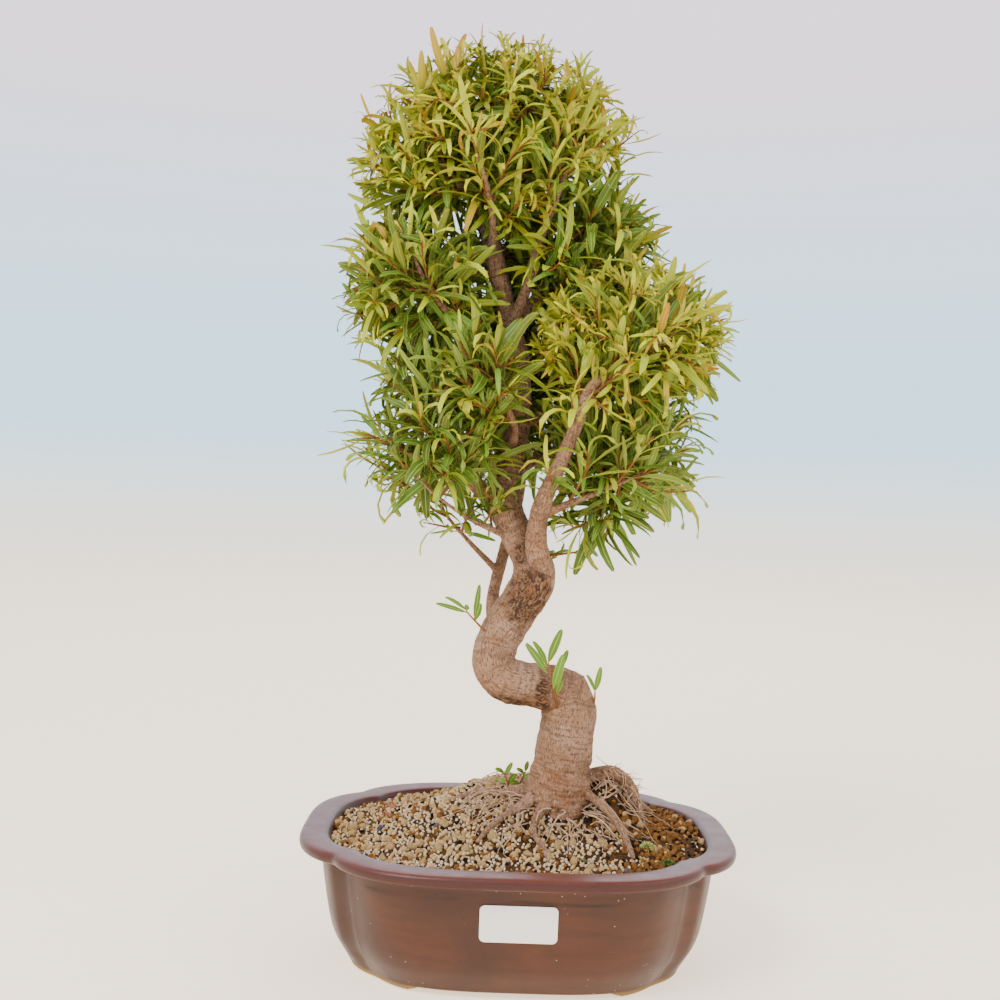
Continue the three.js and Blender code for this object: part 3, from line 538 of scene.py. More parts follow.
def bark_finish(wood):
    """Thin tan bark with fleck-like pores along the wood and fine wrinkles across it, and painted shade in
    the folds at the trunk's foot and on the undersides.
    """
    finish = Finish("bark", "grain", Roughness=0.8, Specular_IOR_Level=MATT)
    patches = finish.span(finish.clouds(0.016, 4, (1, 1, 0.5)), 0.35, 0.68)
    colour = finish.blend(patches, wood.bark, shade(wood.bark, 0.7))
    bloom = finish.span(finish.clouds(0.03, 3), 0.5, 0.7, 0, 0.5)
    colour = finish.blend(bloom, colour, paint("c9a893"))
    flecks = finish.span(finish.clouds(0.0007, 3, (1, 1, 0.36)), 0.49, 0.62)
    colour = finish.blend(finish.times(flecks, 0.85), colour, wood.dark_bark)
    pale = finish.span(finish.clouds(0.0006, 2, (1, 1, 0.5), 0.5), 0.58, 0.72, 0, 0.35)
    colour = finish.blend(pale, colour, paint("cfae92"))
    wrinkles = finish.span(finish.clouds(0.0013, 4, (0.1, 0.1, 1)), 0.52, 0.62)
    colour = finish.blend(finish.times(wrinkles, 0.45), colour, wood.dark_bark)
    # Darker in the sunk folds at the trunk's foot: painted shade in the creases.
    low = finish.span(finish.axis("Z"), 0.012, 0.03, 0.85, 0)
    folds = finish.times(finish.span(finish.clouds(0.005, 5, (0.4, 0.4, 1), 0.6), 0.5, 0.6), low)
    colour = finish.blend(folds, colour, shade(wood.dark_bark, 0.6))
    # Rust in the warm patches; on undersides this is painted shade.
    rust_and_under_shade = finish.span(finish.clouds(0.005, 4), 0.4, 0.7, 0, 0.6)
    rust_and_under_shade = finish.times(rust_and_under_shade, finish.attribute("warm"))
    colour = finish.blend(rust_and_under_shade, colour, paint("8a5430"))
    # Cracked old bark; on the undersides of thick wood this is painted shade, partly real old bark.
    old = finish.attribute("old")
    cracks = finish.span(finish.clouds(0.0019, 5, (1, 1, 0.55), 1.4), 0.45, 0.58)
    rough = finish.blend(cracks, shade(wood.dark_bark, 0.5), shade(wood.bark, 0.74))
    rust = finish.span(finish.clouds(0.004, 3), 0.45, 0.65, 0, 0.8)
    rough = finish.blend(finish.times(rust, cracks), rough, paint("84522a"))
    colour = finish.blend(old, colour, rough)
    normal = finish.relief(flecks, -0.0003, 0.4)
    normal = finish.relief(finish.times(cracks, old), 0.0008, 0.7, normal)
    normal = finish.relief(wrinkles, -0.0005, 0.6, normal)
    normal = finish.relief(folds, -0.0012, 0.8, normal)
    return finish.done(colour, normal=normal)


def twig_finish(wood):
    """Thin bark of young shoots, from brown at the butt to orange at the end."""
    finish = Finish("twig_bark", Roughness=0.65, Specular_IOR_Level=MATT)
    flecks = finish.clouds(0.0009, 3)
    colour = finish.blend(finish.attribute("age"), shade(wood.twig, 0.7), paint("a06228"))
    colour = finish.blend(finish.span(flecks, 0.4, 0.7, 0, 0.7), colour, shade(wood.twig, 0.45))
    return finish.done(colour, normal=finish.relief(flecks, 0.0002, 0.5))


def root_finish(wood):
    """Dry skin of fine roots, each between pale tan and grey-brown."""
    finish = Finish("root_skin", Roughness=0.85, Specular_IOR_Level=MATT)
    flecks = finish.clouds(0.0009, 3)
    colour = finish.blend(finish.attribute("age"), wood.bark, paint("d8bb9a"))
    colour = finish.blend(finish.span(flecks, 0.42, 0.7, 0, 0.6), colour, shade(wood.bark, 0.5))
    return finish.done(colour, normal=finish.relief(flecks, 0.0002, 0.5))


def leaf_finish(name, base, leaves):
    """A waxy blade with a pale midrib and side veins, a matt paler underside, a tint of its own, and
    painted shade deep in the crown and on the low shoots.
    """
    finish = Finish(name, "UVMap", Specular_IOR_Level=0.22)
    along = finish.axis("X")
    under = finish.math("GREATER_THAN", finish.axis("Y"), 1)
    across = finish.minus(finish.minus(finish.axis("Y"), under), 0.5)
    across = finish.math("ABSOLUTE", across)
    colour = finish.blend(finish.attribute("age"), base, leaves.mature)
    # Painted shade: darker deep in the crown and on the low shoots.
    colour = finish.blend(finish.attribute("dark"), colour, shade(leaves.mature, 0.3))
    colour = finish.blend(finish.times(under, 0.4), colour, paint("8c9642"))
    warm = finish.times(finish.attribute("warm"), finish.span(along, 0.2, 1, 0.5, 1))
    colour = finish.blend(warm, colour, paint("b06810"))
    base_tint = finish.span(along, 0.02, 0.18, 0.6, 0)
    colour = finish.blend(base_tint, colour, paint("b48238"))
    midrib = finish.span(across, 0.02, 0.075, 0.5, 0)
    colour = finish.blend(midrib, colour, paint("c8cc58"))
    margin = finish.span(across, 0.4, 0.5, 0, 0.55)
    colour = finish.blend(margin, colour, paint("cfc63e"))
    slant = finish.plus(finish.times(along, 14), finish.times(across, -9))
    veins = finish.times(finish.math("SINE", finish.times(slant, TURN)), 0.1)
    colour = finish.blend(finish.plus(veins, 0.03), colour, paint("c4c850"))
    gloss = finish.plus(finish.times(under, 0.2), 0.45)
    normal = finish.relief(midrib, -0.0003, 0.6)
    normal = finish.relief(veins, 0.0002, 0.5, normal)
    return finish.done(colour, gloss, normal)


def moss_finish(name, light, dark):
    finish = Finish(name, Roughness=0.95)
    tufts = finish.clouds(0.0012, 3)
    colour = finish.blend(finish.span(tufts, 0.35, 0.65), dark, light)
    return finish.done(colour, normal=finish.relief(tufts, 0.0006, 1))


def chip_finish():
    """Reddish bark chips with a long grain."""
    finish = Finish("bark_chips", Roughness=0.85, Specular_IOR_Level=MATT)
    lines = finish.clouds(0.0012, 3, (1, 0.3, 1))
    colour = finish.blend(finish.span(lines, 0.35, 0.65), paint("b06a4a"), paint("6e3a28"))
    return finish.done(colour, normal=finish.relief(lines, 0.0004, 0.7))


def mesh_of(name, points, faces):
    """A mesh from points in millimetres, shaded smooth."""
    mesh = bpy.data.meshes.new(name)
    mesh.from_pydata([tuple(MM * c for c in point) for point in points], [], faces)
    mesh.shade_smooth()
    return mesh


def new_piece(name, mesh):
    piece = bpy.data.objects.new(name, mesh)
    bpy.context.scene.collection.objects.link(piece)
    return piece


def paint_points(mesh, name, values, kind="FLOAT"):
    """Gives each point of a mesh a value or a vector."""
    layer = mesh.attributes.new(name, kind, "POINT")
    key = "value" if kind in ("FLOAT", "INT") else "vector"
    layer.data.foreach_set(key, np.asarray(values, float if kind != "INT" else int).ravel())


def baked(piece):
    """Turns what a piece's modifiers make into its plain mesh."""
    bpy.context.view_layer.update()
    graph = bpy.context.evaluated_depsgraph_get()
    made = bpy.data.meshes.new_from_object(
        piece.evaluated_get(graph), preserve_all_data_layers=True, depsgraph=graph)
    piece.modifiers.clear()
    piece.data = made
    return piece


def dress(piece, material, nodes=()):
    """Gives a finished piece its material and its place on the body."""
    piece.data.materials.clear()
    piece.data.materials.append(material)
    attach(piece, "root")
    if nodes:
        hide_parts(*nodes)
    return piece


def new_tree(name, sockets):
    """An empty geometry tree with named inputs, each as its name, kind and default."""
    tree = bpy.data.node_groups.new(name, "GeometryNodeTree")
    tree.interface.new_socket("Geometry", in_out="INPUT", socket_type="NodeSocketGeometry")
    for label, kind, default in sockets:
        socket = tree.interface.new_socket(label, in_out="INPUT", socket_type="NodeSocket" + kind)
        if default is not None:
            socket.default_value = default
    tree.interface.new_socket("Geometry", in_out="OUTPUT", socket_type="NodeSocketGeometry")
    nodes = Nodes(tree)
    return nodes, nodes.add("NodeGroupInput").outputs


def named_input(nodes, name, kind):
    """The values that each point carries under a name."""
    return nodes.add("GeometryNodeInputNamedAttribute", {"Name": name}, "Attribute", data_type=kind)


def finish_tree(nodes, geometry, material):
    """Ends a tree with real faces that have the material."""
    real = nodes.add("GeometryNodeRealizeInstances", {"Geometry": geometry}, "Geometry")
    dressed = nodes.add("GeometryNodeSetMaterial", {"Geometry": real, "Material": material}, "Geometry")
    nodes.add("NodeGroupOutput", {"Geometry": dressed})
    return nodes.tree


def run_tree(name, mesh, tree, values):
    """The piece that a tree makes of a mesh with the given inputs."""
    piece = new_piece(name, mesh)
    modifier = piece.modifiers.new(name, "NODES")
    modifier.node_group = tree
    for item in tree.interface.items_tree:
        if item.in_out == "INPUT" and item.name in values:
            modifier[item.identifier] = values[item.name]
    return baked(piece)


# The most grains on a square metre before they are thinned, and the last number drawn for a shape.
MOST_GRAINS = 400000
LAST_CHOICE = 99


def scatter_tree():
    """Grains on a surface: points spread evenly, a random grain, turn, size and tint at each."""
    nodes, given = new_tree("scatter_grains", [
        ("Grains", "Collection", None), ("Material", "Material", None), ("Weight", "String", ""),
        ("Spacing", "Float", 0.003), ("Size Low", "Float", 0.002), ("Size High", "Float", 0.004),
        ("Sunk", "Float", 0.0), ("Seed", "Int", SEED),
    ])
    weight = named_input(nodes, given["Weight"], "FLOAT")
    spread = nodes.add("GeometryNodeDistributePointsOnFaces", {
        "Mesh": given["Geometry"], "Distance Min": given["Spacing"], "Density Max": MOST_GRAINS,
        "Density Factor": weight, "Seed": given["Seed"],
    }, distribute_method="POISSON")

    def chance(kind, low, high):
        inputs = {"Min": low, "Max": high, "Seed": given["Seed"]}
        return nodes.add("FunctionNodeRandomValue", inputs, "Value", data_type=kind)

    points = nodes.add("GeometryNodeStoreNamedAttribute", {
        "Geometry": spread.outputs["Points"], "Name": "tint", "Value": chance("FLOAT", 0.0, 1.0),
    }, "Geometry", data_type="FLOAT", domain="POINT")
    drop = nodes.add("ShaderNodeCombineXYZ", {"Z": given["Sunk"]}, "Vector")
    points = nodes.add("GeometryNodeSetPosition", {"Geometry": points, "Offset": drop}, "Geometry")
    grains = nodes.add("GeometryNodeCollectionInfo", {
        "Collection": given["Grains"], "Separate Children": True, "Reset Children": True,
    }, "Instances")
    placed = nodes.add("GeometryNodeInstanceOnPoints", {
        "Points": points, "Instance": grains, "Pick Instance": True,
        "Instance Index": chance("INT", 0, LAST_CHOICE),
        "Rotation": chance("FLOAT_VECTOR", (0, 0, 0), (TURN, TURN, TURN)),
        "Scale": chance("FLOAT", given["Size Low"], given["Size High"]),
    }, "Instances")
    return finish_tree(nodes, placed, given["Material"])


def blade_tree():
    """Blades on points: each point's own attributes say which blade, its turn and its size."""
    nodes, given = new_tree("place_blades", [
        ("Blades", "Collection", None), ("Material", "Material", None),
    ])
    blades = nodes.add("GeometryNodeCollectionInfo", {
        "Collection": given["Blades"], "Separate Children": True, "Reset Children": True,
    }, "Instances")
    placed = nodes.add("GeometryNodeInstanceOnPoints", {
        "Points": given["Geometry"], "Instance": blades, "Pick Instance": True,
        "Instance Index": named_input(nodes, "kind", "INT"),
        "Rotation": named_input(nodes, "turn", "FLOAT_VECTOR"),
        "Scale": named_input(nodes, "size", "FLOAT_VECTOR"),
    }, "Instances")
    return finish_tree(nodes, placed, given["Material"])


STEM_SIDES = 5


def stem_tree():
    """Round stems along edges, as wide at each point as its half_width says."""
    nodes, given = new_tree("grow_stems", [("Material", "Material", None)])
    half = named_input(nodes, "half_width", "FLOAT")
    curve = nodes.add("GeometryNodeMeshToCurve", {"Mesh": given["Geometry"]}, "Curve")
    ring = {"Resolution": STEM_SIDES, "Radius": 1.0}
    ring = nodes.add("GeometryNodeCurvePrimitiveCircle", ring, "Curve")
    inputs = {"Curve": curve, "Profile Curve": ring, "Scale": half, "Fill Caps": True}
    tube = nodes.add("GeometryNodeCurveToMesh", inputs, "Mesh")
    smooth = nodes.add("GeometryNodeSetShadeSmooth", {"Geometry": tube}, "Geometry")
    return finish_tree(nodes, smooth, given["Material"])


def grow_stems(name, paths, material):
    """One piece of tapered stems; each path is a list of points, half widths and values for age."""
    points, edges, widths, ages = [], [], [], []
    for path in paths:
        first = len(points)
        for point, half, age in path:
            points.append(tuple(MM * c for c in point))
            widths.append(MM * half)
            ages.append(age)
        edges += [(i, i + 1) for i in range(first, len(points) - 1)]
    mesh = bpy.data.meshes.new(name)
    mesh.from_pydata(points, edges, [])
    paint_points(mesh, "half_width", widths)
    paint_points(mesh, "age", ages)
    return run_tree(name, mesh, stem_tree(), {"Material": material})


def as_collection(name, meshes):
    """Meshes as a collection that trees can pick from, kept out of the scene."""
    collection = bpy.data.collections.new(name)
    for number, mesh in enumerate(meshes):
        collection.objects.link(bpy.data.objects.new(f"{name}_{number:02d}", mesh))
    return collection


def discard(collection):
    for thing in list(collection.objects):
        bpy.data.objects.remove(thing)
    bpy.data.collections.remove(collection)


def rim_radius(angle):
    """The distance from the pot's middle to the rim's outline."""
    across, deep = abs(math.cos(angle)), abs(math.sin(angle))
    reaches = [
        ((across / width) ** power + (deep / depth) ** power) ** (-1 / power)
        for width, depth, power in (LOBE, PANEL)
    ]
    return sum(reach ** NOTCH_SHARPNESS for reach in reaches) ** (1 / NOTCH_SHARPNESS)


def pot_angles():
    """The angles round the pot, with one in each notch."""
    quarter = [COVE["start"] * step / LOBE_STEPS for step in range(LOBE_STEPS)]
    cove = NOTCH_ANGLE - COVE["start"]
    quarter += [COVE["start"] + cove * step / COVE["steps"] for step in range(COVE["steps"])]
    quarter += [NOTCH_ANGLE - COVE["arris"], NOTCH_ANGLE, NOTCH_ANGLE + COVE["arris"]]
    quarter += [NOTCH_ANGLE + PINCH["step"] * step for step in range(1, PINCH["steps"])]
    panel = NOTCH_ANGLE + PINCH["step"] * PINCH["steps"]
    quarter += [panel + (TURN / 4 - panel) * step / PANEL_STEPS for step in range(PANEL_STEPS)]
    half = quarter + [TURN / 4] + [TURN / 2 - angle for angle in reversed(quarter[1:])]
    return half + [angle + TURN / 2 for angle in half]


ANGLES = pot_angles()


def drawn_in(inset):
    """How much an inset at the ends and at the middle of the panels shrinks the plan."""
    return 1 - inset / LOBE[0], 1 - inset / PANEL[1]


def carved(angle, inset, height):
    """How far the outside of the pot goes in at an angle: coves in the wall, pinches in the lip."""
    folded = abs(math.asin(math.sin(angle)))
    if height >= LIP[0][1]:
        return PINCH["depth"] * math.exp(-((folded - NOTCH_ANGLE) / PINCH["spread"]) ** 2)
    share = (folded - COVE["start"]) / (NOTCH_ANGLE - COVE["start"])
    if inset >= FOOT[0][0] or not 0 < share < 1:
        return 0
    return 5 * COVE["depth"] * share ** 1.4 * (1 - share) * soft_step(2, 12, height)


def pot_ring(inset, height, outside=False):
    across, deep = drawn_in(inset)
    ring = []
    for angle in ANGLES:
        radius = rim_radius(angle)
        if outside:
            radius -= carved(angle, inset, height)
        ring.append((across * radius * math.cos(angle), deep * radius * math.sin(angle), height))
    return ring


def shell_faces(rows, sides):
    """Faces through rings of points, with a last point at each end, start first."""
    faces = []
    for row in range(rows - 1):
        for side in range(sides):
            a, b = row * sides + side, row * sides + (side + 1) % sides
            faces.append((a, b, b + sides, a + sides))
    start, end = rows * sides, rows * sides + 1
    last = (rows - 1) * sides
    for side in range(sides):
        following = (side + 1) % sides
        faces.append((following, side, start))
        faces.append((last + side, last + following, end))
    return faces


def rounded(section, passes=3):
    """A section with its corners cut again and again, and its ends kept."""
    for _ in range(passes):
        cut = [section[0]]
        for before, after in zip(section, section[1:]):
            cut.append(tuple(0.75 * a + 0.25 * b for a, b in zip(before, after)))
            cut.append(tuple(0.25 * a + 0.75 * b for a, b in zip(before, after)))
        section = cut + [section[-1]]
    return section


def foot_lift(x, y):
    """How far the foot is cut up from the floor at a place, with sloping ends."""
    ends = ((FOOT_CUT["front"], abs(x)), (FOOT_CUT["side"], abs(y)))
    lift = max(min(1, (half - away) / FOOT_CUT["slope"]) for half, away in ends)
    return FOOT_CUT["height"] * max(0, lift)


def soft_step(low, high, value):
    share = min(max((value - low) / (high - low), 0), 1)
    return share * share * (3 - 2 * share)


def fade(name, value):
    return soft_step(*FADES[name], value)


def glaze_shares(x, y, z, inset):
    """How far the rim's glaze, the thin glaze of edges with the painted shade under the lip, and bare clay
    show at a point of the pot.
    """
    rim = 0.85 * fade("rim_up", z) * fade("rim_out", inset)
    lip = fade("lip_up", z) * fade("lip_down", z) * fade("lip_out", inset)
    inner = fade("inner_edge", abs(inset - INNER_EDGE_INSET)) * fade("inner_up", z)
    # Painted shade in the crease under the lip, given the edges' dark colour.
    groove = fade("groove", abs(z - GROOVE["height"])) * (inset < GROOVE["inset"])
    wave = 0.5 * noise.noise(Vector((x, y, z)) * 0.15)
    bare = max(fade("bare", z + wave), float(inset > UNGLAZED_INSET))
    return rim, max(0.8 * lip, 0.7 * inner, 0.75 * groove), bare


def drain_cutter(side):
    """A drum that cuts the left or the right drain hole."""
    radius, sides, across = DRAIN["radius"], DRAIN["sides"], side * DRAIN["across"]
    turns = [TURN * k / sides for k in range(sides)]
    ring = [(radius * math.cos(turn), radius * math.sin(turn)) for turn in turns]
    points = [(x + across, y, z) for z in DRAIN["cut"] for x, y in ring]
    points += [(across, 0, z) for z in DRAIN["cut"]]
    return new_piece("cutter", mesh_of("cutter", points, shell_faces(2, sides)))


def make_pot():
    """The pot's shell with its rounded lip, cut foot and two drain holes."""
    section = rounded(FOOT + WALL + LIP + INSIDE)
    outside = len(rounded(FOOT + WALL + LIP))
    points, shares = [], []
    for place, (inset, height) in enumerate(section):
        for x, y, z in pot_ring(inset, height, outside=place < outside):
            points.append((x, y, z + foot_lift(x, y) * fade("foot", z)))
            shares.append(glaze_shares(x, y, z, inset))
    points += [(0, 0, FOOT[0][1]), (0, 0, FLOOR_TOP)]
    shares += [(0, 0, 1), (0, 0, 1)]
    mesh = mesh_of("pot_shell", points, shell_faces(len(section), len(ANGLES)))
    # The edge share also holds the painted shade under the lip.
    for name, values in zip(("rim", "edge", "bare"), zip(*shares)):
        paint_points(mesh, name, values)
    shell = new_piece("pot_shell", mesh)
    cutters = [drain_cutter(side) for side in (-1, 1)]
    for cutter in cutters:
        hole = shell.modifiers.new("drain", "BOOLEAN")
        hole.object, hole.operation, hole.solver = cutter, "DIFFERENCE", "EXACT"
    baked(shell)
    for cutter in cutters:
        bpy.data.objects.remove(cutter)
    shell.data.set_sharp_from_angle(angle=math.radians(40))
    return shell


def wall_front(x, height):
    """How far in front of the middle the front wall is at a place across and up."""
    below = max(i for i, point in enumerate(WALL) if point[1] <= height)
    (low_inset, low), (high_inset, high) = WALL[below], WALL[below + 1]
    inset = low_inset + (high_inset - low_inset) * (height - low) / (high - low)
    across, deep = drawn_in(inset)
    rim_y = PANEL[1]
    for _ in range(8):
        angle = math.atan2(rim_y, x / across)
        rim_y = rim_radius(angle) * math.sin(angle)
    return -deep * rim_y


def make_label(pot):
    """A thin plain plate with round corners that follows the front wall."""
    half_wide, half_high = pot.label_width / MM / 2, pot.label_height / MM / 2
    corner, steps = LABEL["corner"], LABEL["corner_steps"]
    outline = []
    for turn, (sx, sz) in enumerate(((1, -1), (1, 1), (-1, 1), (-1, -1))):
        for step in range(steps + 1):
            angle = (turn - 1 + step / steps) * TURN / 4
            outline.append((sx * (half_wide - corner) + corner * math.cos(angle),
                            sz * (half_high - corner) + corner * math.sin(angle)))
    middle_x, middle_z = LABEL["middle"]
    points = []
    rings, back_lift, front_lift = LABEL["rings"], LABEL["lift"], LABEL["lift"] + LABEL["thickness"]
    for lift, order in ((back_lift, rings), (front_lift, rings[::-1])):
        for share in order:
            thin = LABEL["bevel"] if share == 1 and lift == front_lift else 0
            for x, z in outline:
                place_x, place_z = middle_x + x * share, middle_z + z * share
                points.append((place_x, wall_front(place_x, place_z) - lift + thin, place_z))
    back = wall_front(middle_x, middle_z) - back_lift
    points += [(middle_x, back, middle_z), (middle_x, back - LABEL["thickness"], middle_z)]
    faces = shell_faces(2 * len(rings), len(outline))
    return new_piece("plain_label", mesh_of("plain_label", points, faces))


def make_drain_meshes():
    """Two fine meshes of crossing bars over the drain holes."""
    points, faces = [], []
    length, bar, pitch = DRAIN_MESH["length"], DRAIN_MESH["bar"], DRAIN_MESH["pitch"]
    count = int(length / pitch)
    lift = FLOOR_TOP + DRAIN_MESH["lift"]

    def add_bar(x, y, wide, deep, low):
        first = len(points)
        for z in (low, low + DRAIN_MESH["thickness"]):
            for sx, sy in ((-1, -1), (1, -1), (1, 1), (-1, 1)):
                points.append((x + sx * wide / 2, y + sy * deep / 2, z))
        for side in range(4):
            a, b = first + side, first + (side + 1) % 4
            faces.append((a, b, b + 4, a + 4))
        faces.append((first + 3, first + 2, first + 1, first))
        faces.append((first + 4, first + 5, first + 6, first + 7))

    for side in (-1, 1):
        middle = side * DRAIN["across"]
        for number in range(count + 1):
            offset = (number - count / 2) * pitch
            add_bar(middle + offset, 0, bar, length, lift)
            add_bar(middle, offset, length, bar, lift + DRAIN_MESH["crossing"])
    return new_piece("drain_meshes", mesh_of("drain_meshes", points, faces))


def share_of(patch, spread, x, y):
    """How far a place lies within a soft round patch, from 0 to 1."""
    return math.exp(-((x - patch[0]) ** 2 + (y - patch[1]) ** 2) / spread ** 2)


def mix_height(x, y):
    """The height of the mound at a place, with broad unevenness."""
    (middle_x, middle_y), (reach_x, reach_y) = MOUND["middle"], MOUND["reach"]
    away = math.hypot((x - middle_x) / reach_x, (y - middle_y) / reach_y)
    height = MOUND["edge"] + MOUND["height"] * math.exp(-away ** MOUND["fall"])
    for lump, rise, spread in LUMPS:
        height += rise * share_of(lump, spread, x, y)
    uneven = 1.1 * noise.noise(Vector((x, y, 0)) * 0.06) + 0.5 * noise.noise(Vector((x, y, 9)) * 0.2)
    return height + uneven


def make_mix_bed():
    """The body of the mix, and the part of its surface that grains lie on, with their weights."""
    rings, sides = BED["rings"], len(ANGLES)
    rows = []
    edge = pot_ring(BED["inset"], 0)
    for row in range(1, rings + 1):
        share = row / rings
        rows.append([(x * share, y * share, mix_height(x * share, y * share)) for x, y, _ in edge])
    surface = [point for ring in rows for point in ring]
    rows += [pot_ring(inset, height) for inset, height in BED["wall"]]
    points = [point for ring in rows for point in ring]
    points += [(0, 0, mix_height(0, 0)), (0, 0, BED_BOTTOM)]
    faces = [tuple(reversed(face)) for face in shell_faces(len(rows), sides)]
    bed = new_piece("mix_bed", mesh_of("mix_bed", points, faces))
    bed.data.set_sharp_from_angle(angle=math.radians(50))
    top_faces = [face for face in faces if max(face) < rings * sides]
    top = mesh_of("mix_top", surface, top_faces)
    weights = {"pumice": [], "tan": [], "brown": [], "dark": [], "stones": []}
    for x, y, _ in surface:
        clear = float((Vector((x, y)) - TRUNK_FOOT).length > BARE_RADIUS)
        right = soft_step(*BROWN_SIDE, x + 12 * noise.noise(Vector((x, y, 3)) * 0.07))
        rooty, wet = share_of(*ROOTY_PATCH, x, y), share_of(*WET_PATCH, x, y)
        patch = 0.5 + 0.5 * noise.noise(Vector((x, y, 5)) * 0.09)
        weights["pumice"].append(clear * max(0, 1 - 0.94 * right - 0.7 * rooty) * (0.7 + 0.3 * patch))
        weights["tan"].append(clear * (0.1 + 0.7 * patch) * (1 - 0.75 * right) * (1 - 0.5 * rooty))
        weights["brown"].append(clear * (0.25 + 0.75 * right) * (1 - 0.5 * rooty) * (1 - 0.8 * wet))
        weights["dark"].append(clear * (0.2 + 0.5 * rooty + 0.3 * right * (1 - patch) + 0.6 * wet))
        weights["stones"].append(0.008 * clear)
    for name, values in weights.items():
        paint_points(top, name, values)
    return bed, top


def grain_meshes(name, count, faceting, roughness):
    """Lumpy closed grains about 1 across, each its own shape."""
    meshes = []
    for number in range(count):
        ball = bpy.data.meshes.new(f"{name}_{number}")
        build = bmesh_ball(ball, faceting)
        squeeze = Vector((1, 0.7 + 0.3 * random.random(), 0.65 + 0.3 * random.random()))
        for vertex in build:
            where = vertex.co.copy()
            lump = 1 + roughness * noise.noise(where * 2.3 + Vector((number * 7, 0, 0)))
            vertex.co = where * squeeze * lump
        ball.shade_smooth()
        ball.update()
        meshes.append(ball)
    return meshes


def bmesh_ball(mesh, faceting):
    """Fills a mesh with a ball of 1 across; returns its vertices."""
    build = bmesh.new()
    bmesh.ops.create_icosphere(build, subdivisions=faceting, radius=0.5)
    build.to_mesh(mesh)
    build.free()
    return mesh.vertices


# The wood's routes: the step between points, and the sides of limbs over and under a limit of width.
ROUTE_STEP = 1.5
LIMB_SIDES = {"thick": 20, "thin": 12, "limit": 9}
# How much the fused skin is smoothed, and how many times.
SMOOTHING = (0.5, 5)


def smooth_route(route, step):
    """Points about a step apart on a smooth curve through a route, as rows of x, y, z and width."""
    known = np.array(route, float)
    known = np.vstack([2 * known[0] - known[1], known, 2 * known[-1] - known[-2]])
    known[[0, -1], 3] = known[[1, -2], 3]
    rows = []
    for p0, p1, p2, p3 in zip(known, known[1:], known[2:], known[3:]):
        pairs = ((p0, p1), (p1, p2), (p2, p3))
        gaps = [max(np.linalg.norm(b[:3] - a[:3]), 1e-6) ** 0.5 for a, b in pairs]
        t0, t1 = 0, gaps[0]
        t2 = t1 + gaps[1]
        t3 = t2 + gaps[2]
        count = max(2, round(np.linalg.norm(p2[:3] - p1[:3]) / step))
        for i in range(count):
            t = t1 + (t2 - t1) * i / count
            a1 = (t1 - t) / (t1 - t0) * p0 + (t - t0) / (t1 - t0) * p1
            a2 = (t2 - t) / (t2 - t1) * p1 + (t - t1) / (t2 - t1) * p2
            a3 = (t3 - t) / (t3 - t2) * p2 + (t - t2) / (t3 - t2) * p3
            b1 = (t2 - t) / (t2 - t0) * a1 + (t - t0) / (t2 - t0) * a2
            b2 = (t3 - t) / (t3 - t1) * a2 + (t - t1) / (t3 - t1) * a3
            rows.append((t2 - t) / (t2 - t1) * b1 + (t - t1) / (t2 - t1) * b2)
    rows.append(known[-2])
    return np.array(rows)


def frames_along(rows):
    """The way, a normal and a binormal at each row of a route, turned as little as possible."""
    ways = np.gradient(rows[:, :3], axis=0)
    ways /= np.linalg.norm(ways, axis=1, keepdims=True)
    normal = np.array([0.0, 1.0, 0.0])
    normals = []
    for way in ways:
        normal = normal - way * normal.dot(way)
        normal = normal / np.linalg.norm(normal)
        normals.append(normal)
    normals = np.array(normals)
    return ways, normals, np.cross(ways, normals)


def limb(rows, sides):
    """A closed tapered tube round a route."""
    _, normals, binormals = frames_along(rows)
    turns = np.arange(sides) * TURN / sides
    points = []
    for row, normal, binormal in zip(rows, normals, binormals):
        circle = np.outer(np.cos(turns), normal) + np.outer(np.sin(turns), binormal)
        points += (row[:3] + row[3] / 2 * circle).tolist()
    points += [rows[0, :3].tolist(), rows[-1, :3].tolist()]
    return points, shell_faces(len(rows), sides)


def wood_routes():
    return [smooth_route(route, ROUTE_STEP) for route in TRUNK + ROOTS + BRANCHES]


# How far from the wood a point of the bark may lie, and how far apart the routes' patterns start.
FOLLOW_MARGIN = 6
GRAIN_SHIFT = 40.0


def follow_wood(points, routes):
    """Each point's place on its nearest route, as if the route were straight, and the route's number."""
    best = np.full(len(points), 1e9)
    straight = np.zeros((len(points), 3))
    owner = np.zeros(len(points), int)
    for number, rows in enumerate(routes):
        reach = rows[:, 3].max() / 2 + FOLLOW_MARGIN
        low, high = rows[:, :3].min(0) - reach, rows[:, :3].max(0) + reach
        near = np.flatnonzero(np.all((points > low) & (points < high), axis=1))
        if not len(near):
            continue
        gaps = points[near, None, :] - rows[None, :, :3]
        distance = np.linalg.norm(gaps, axis=2)
        at = (distance - rows[None, :, 3] / 2).argmin(1)
        over = distance[np.arange(len(near)), at] - rows[at, 3] / 2
        better = np.abs(over) < best[near]
        near, at = near[better], at[better]
        gap = points[near] - rows[at, :3]
        ways, normals, binormals = frames_along(rows)
        lengths = np.concatenate([[0], np.cumsum(np.linalg.norm(np.diff(rows[:, :3], axis=0), axis=1))])
        best[near] = np.abs(over[better])
        along = lengths[at] + (gap * ways[at]).sum(1)
        straight[near] = np.stack([(gap * normals[at]).sum(1), (gap * binormals[at]).sum(1), along], 1)
        owner[near] = number
    return straight, owner


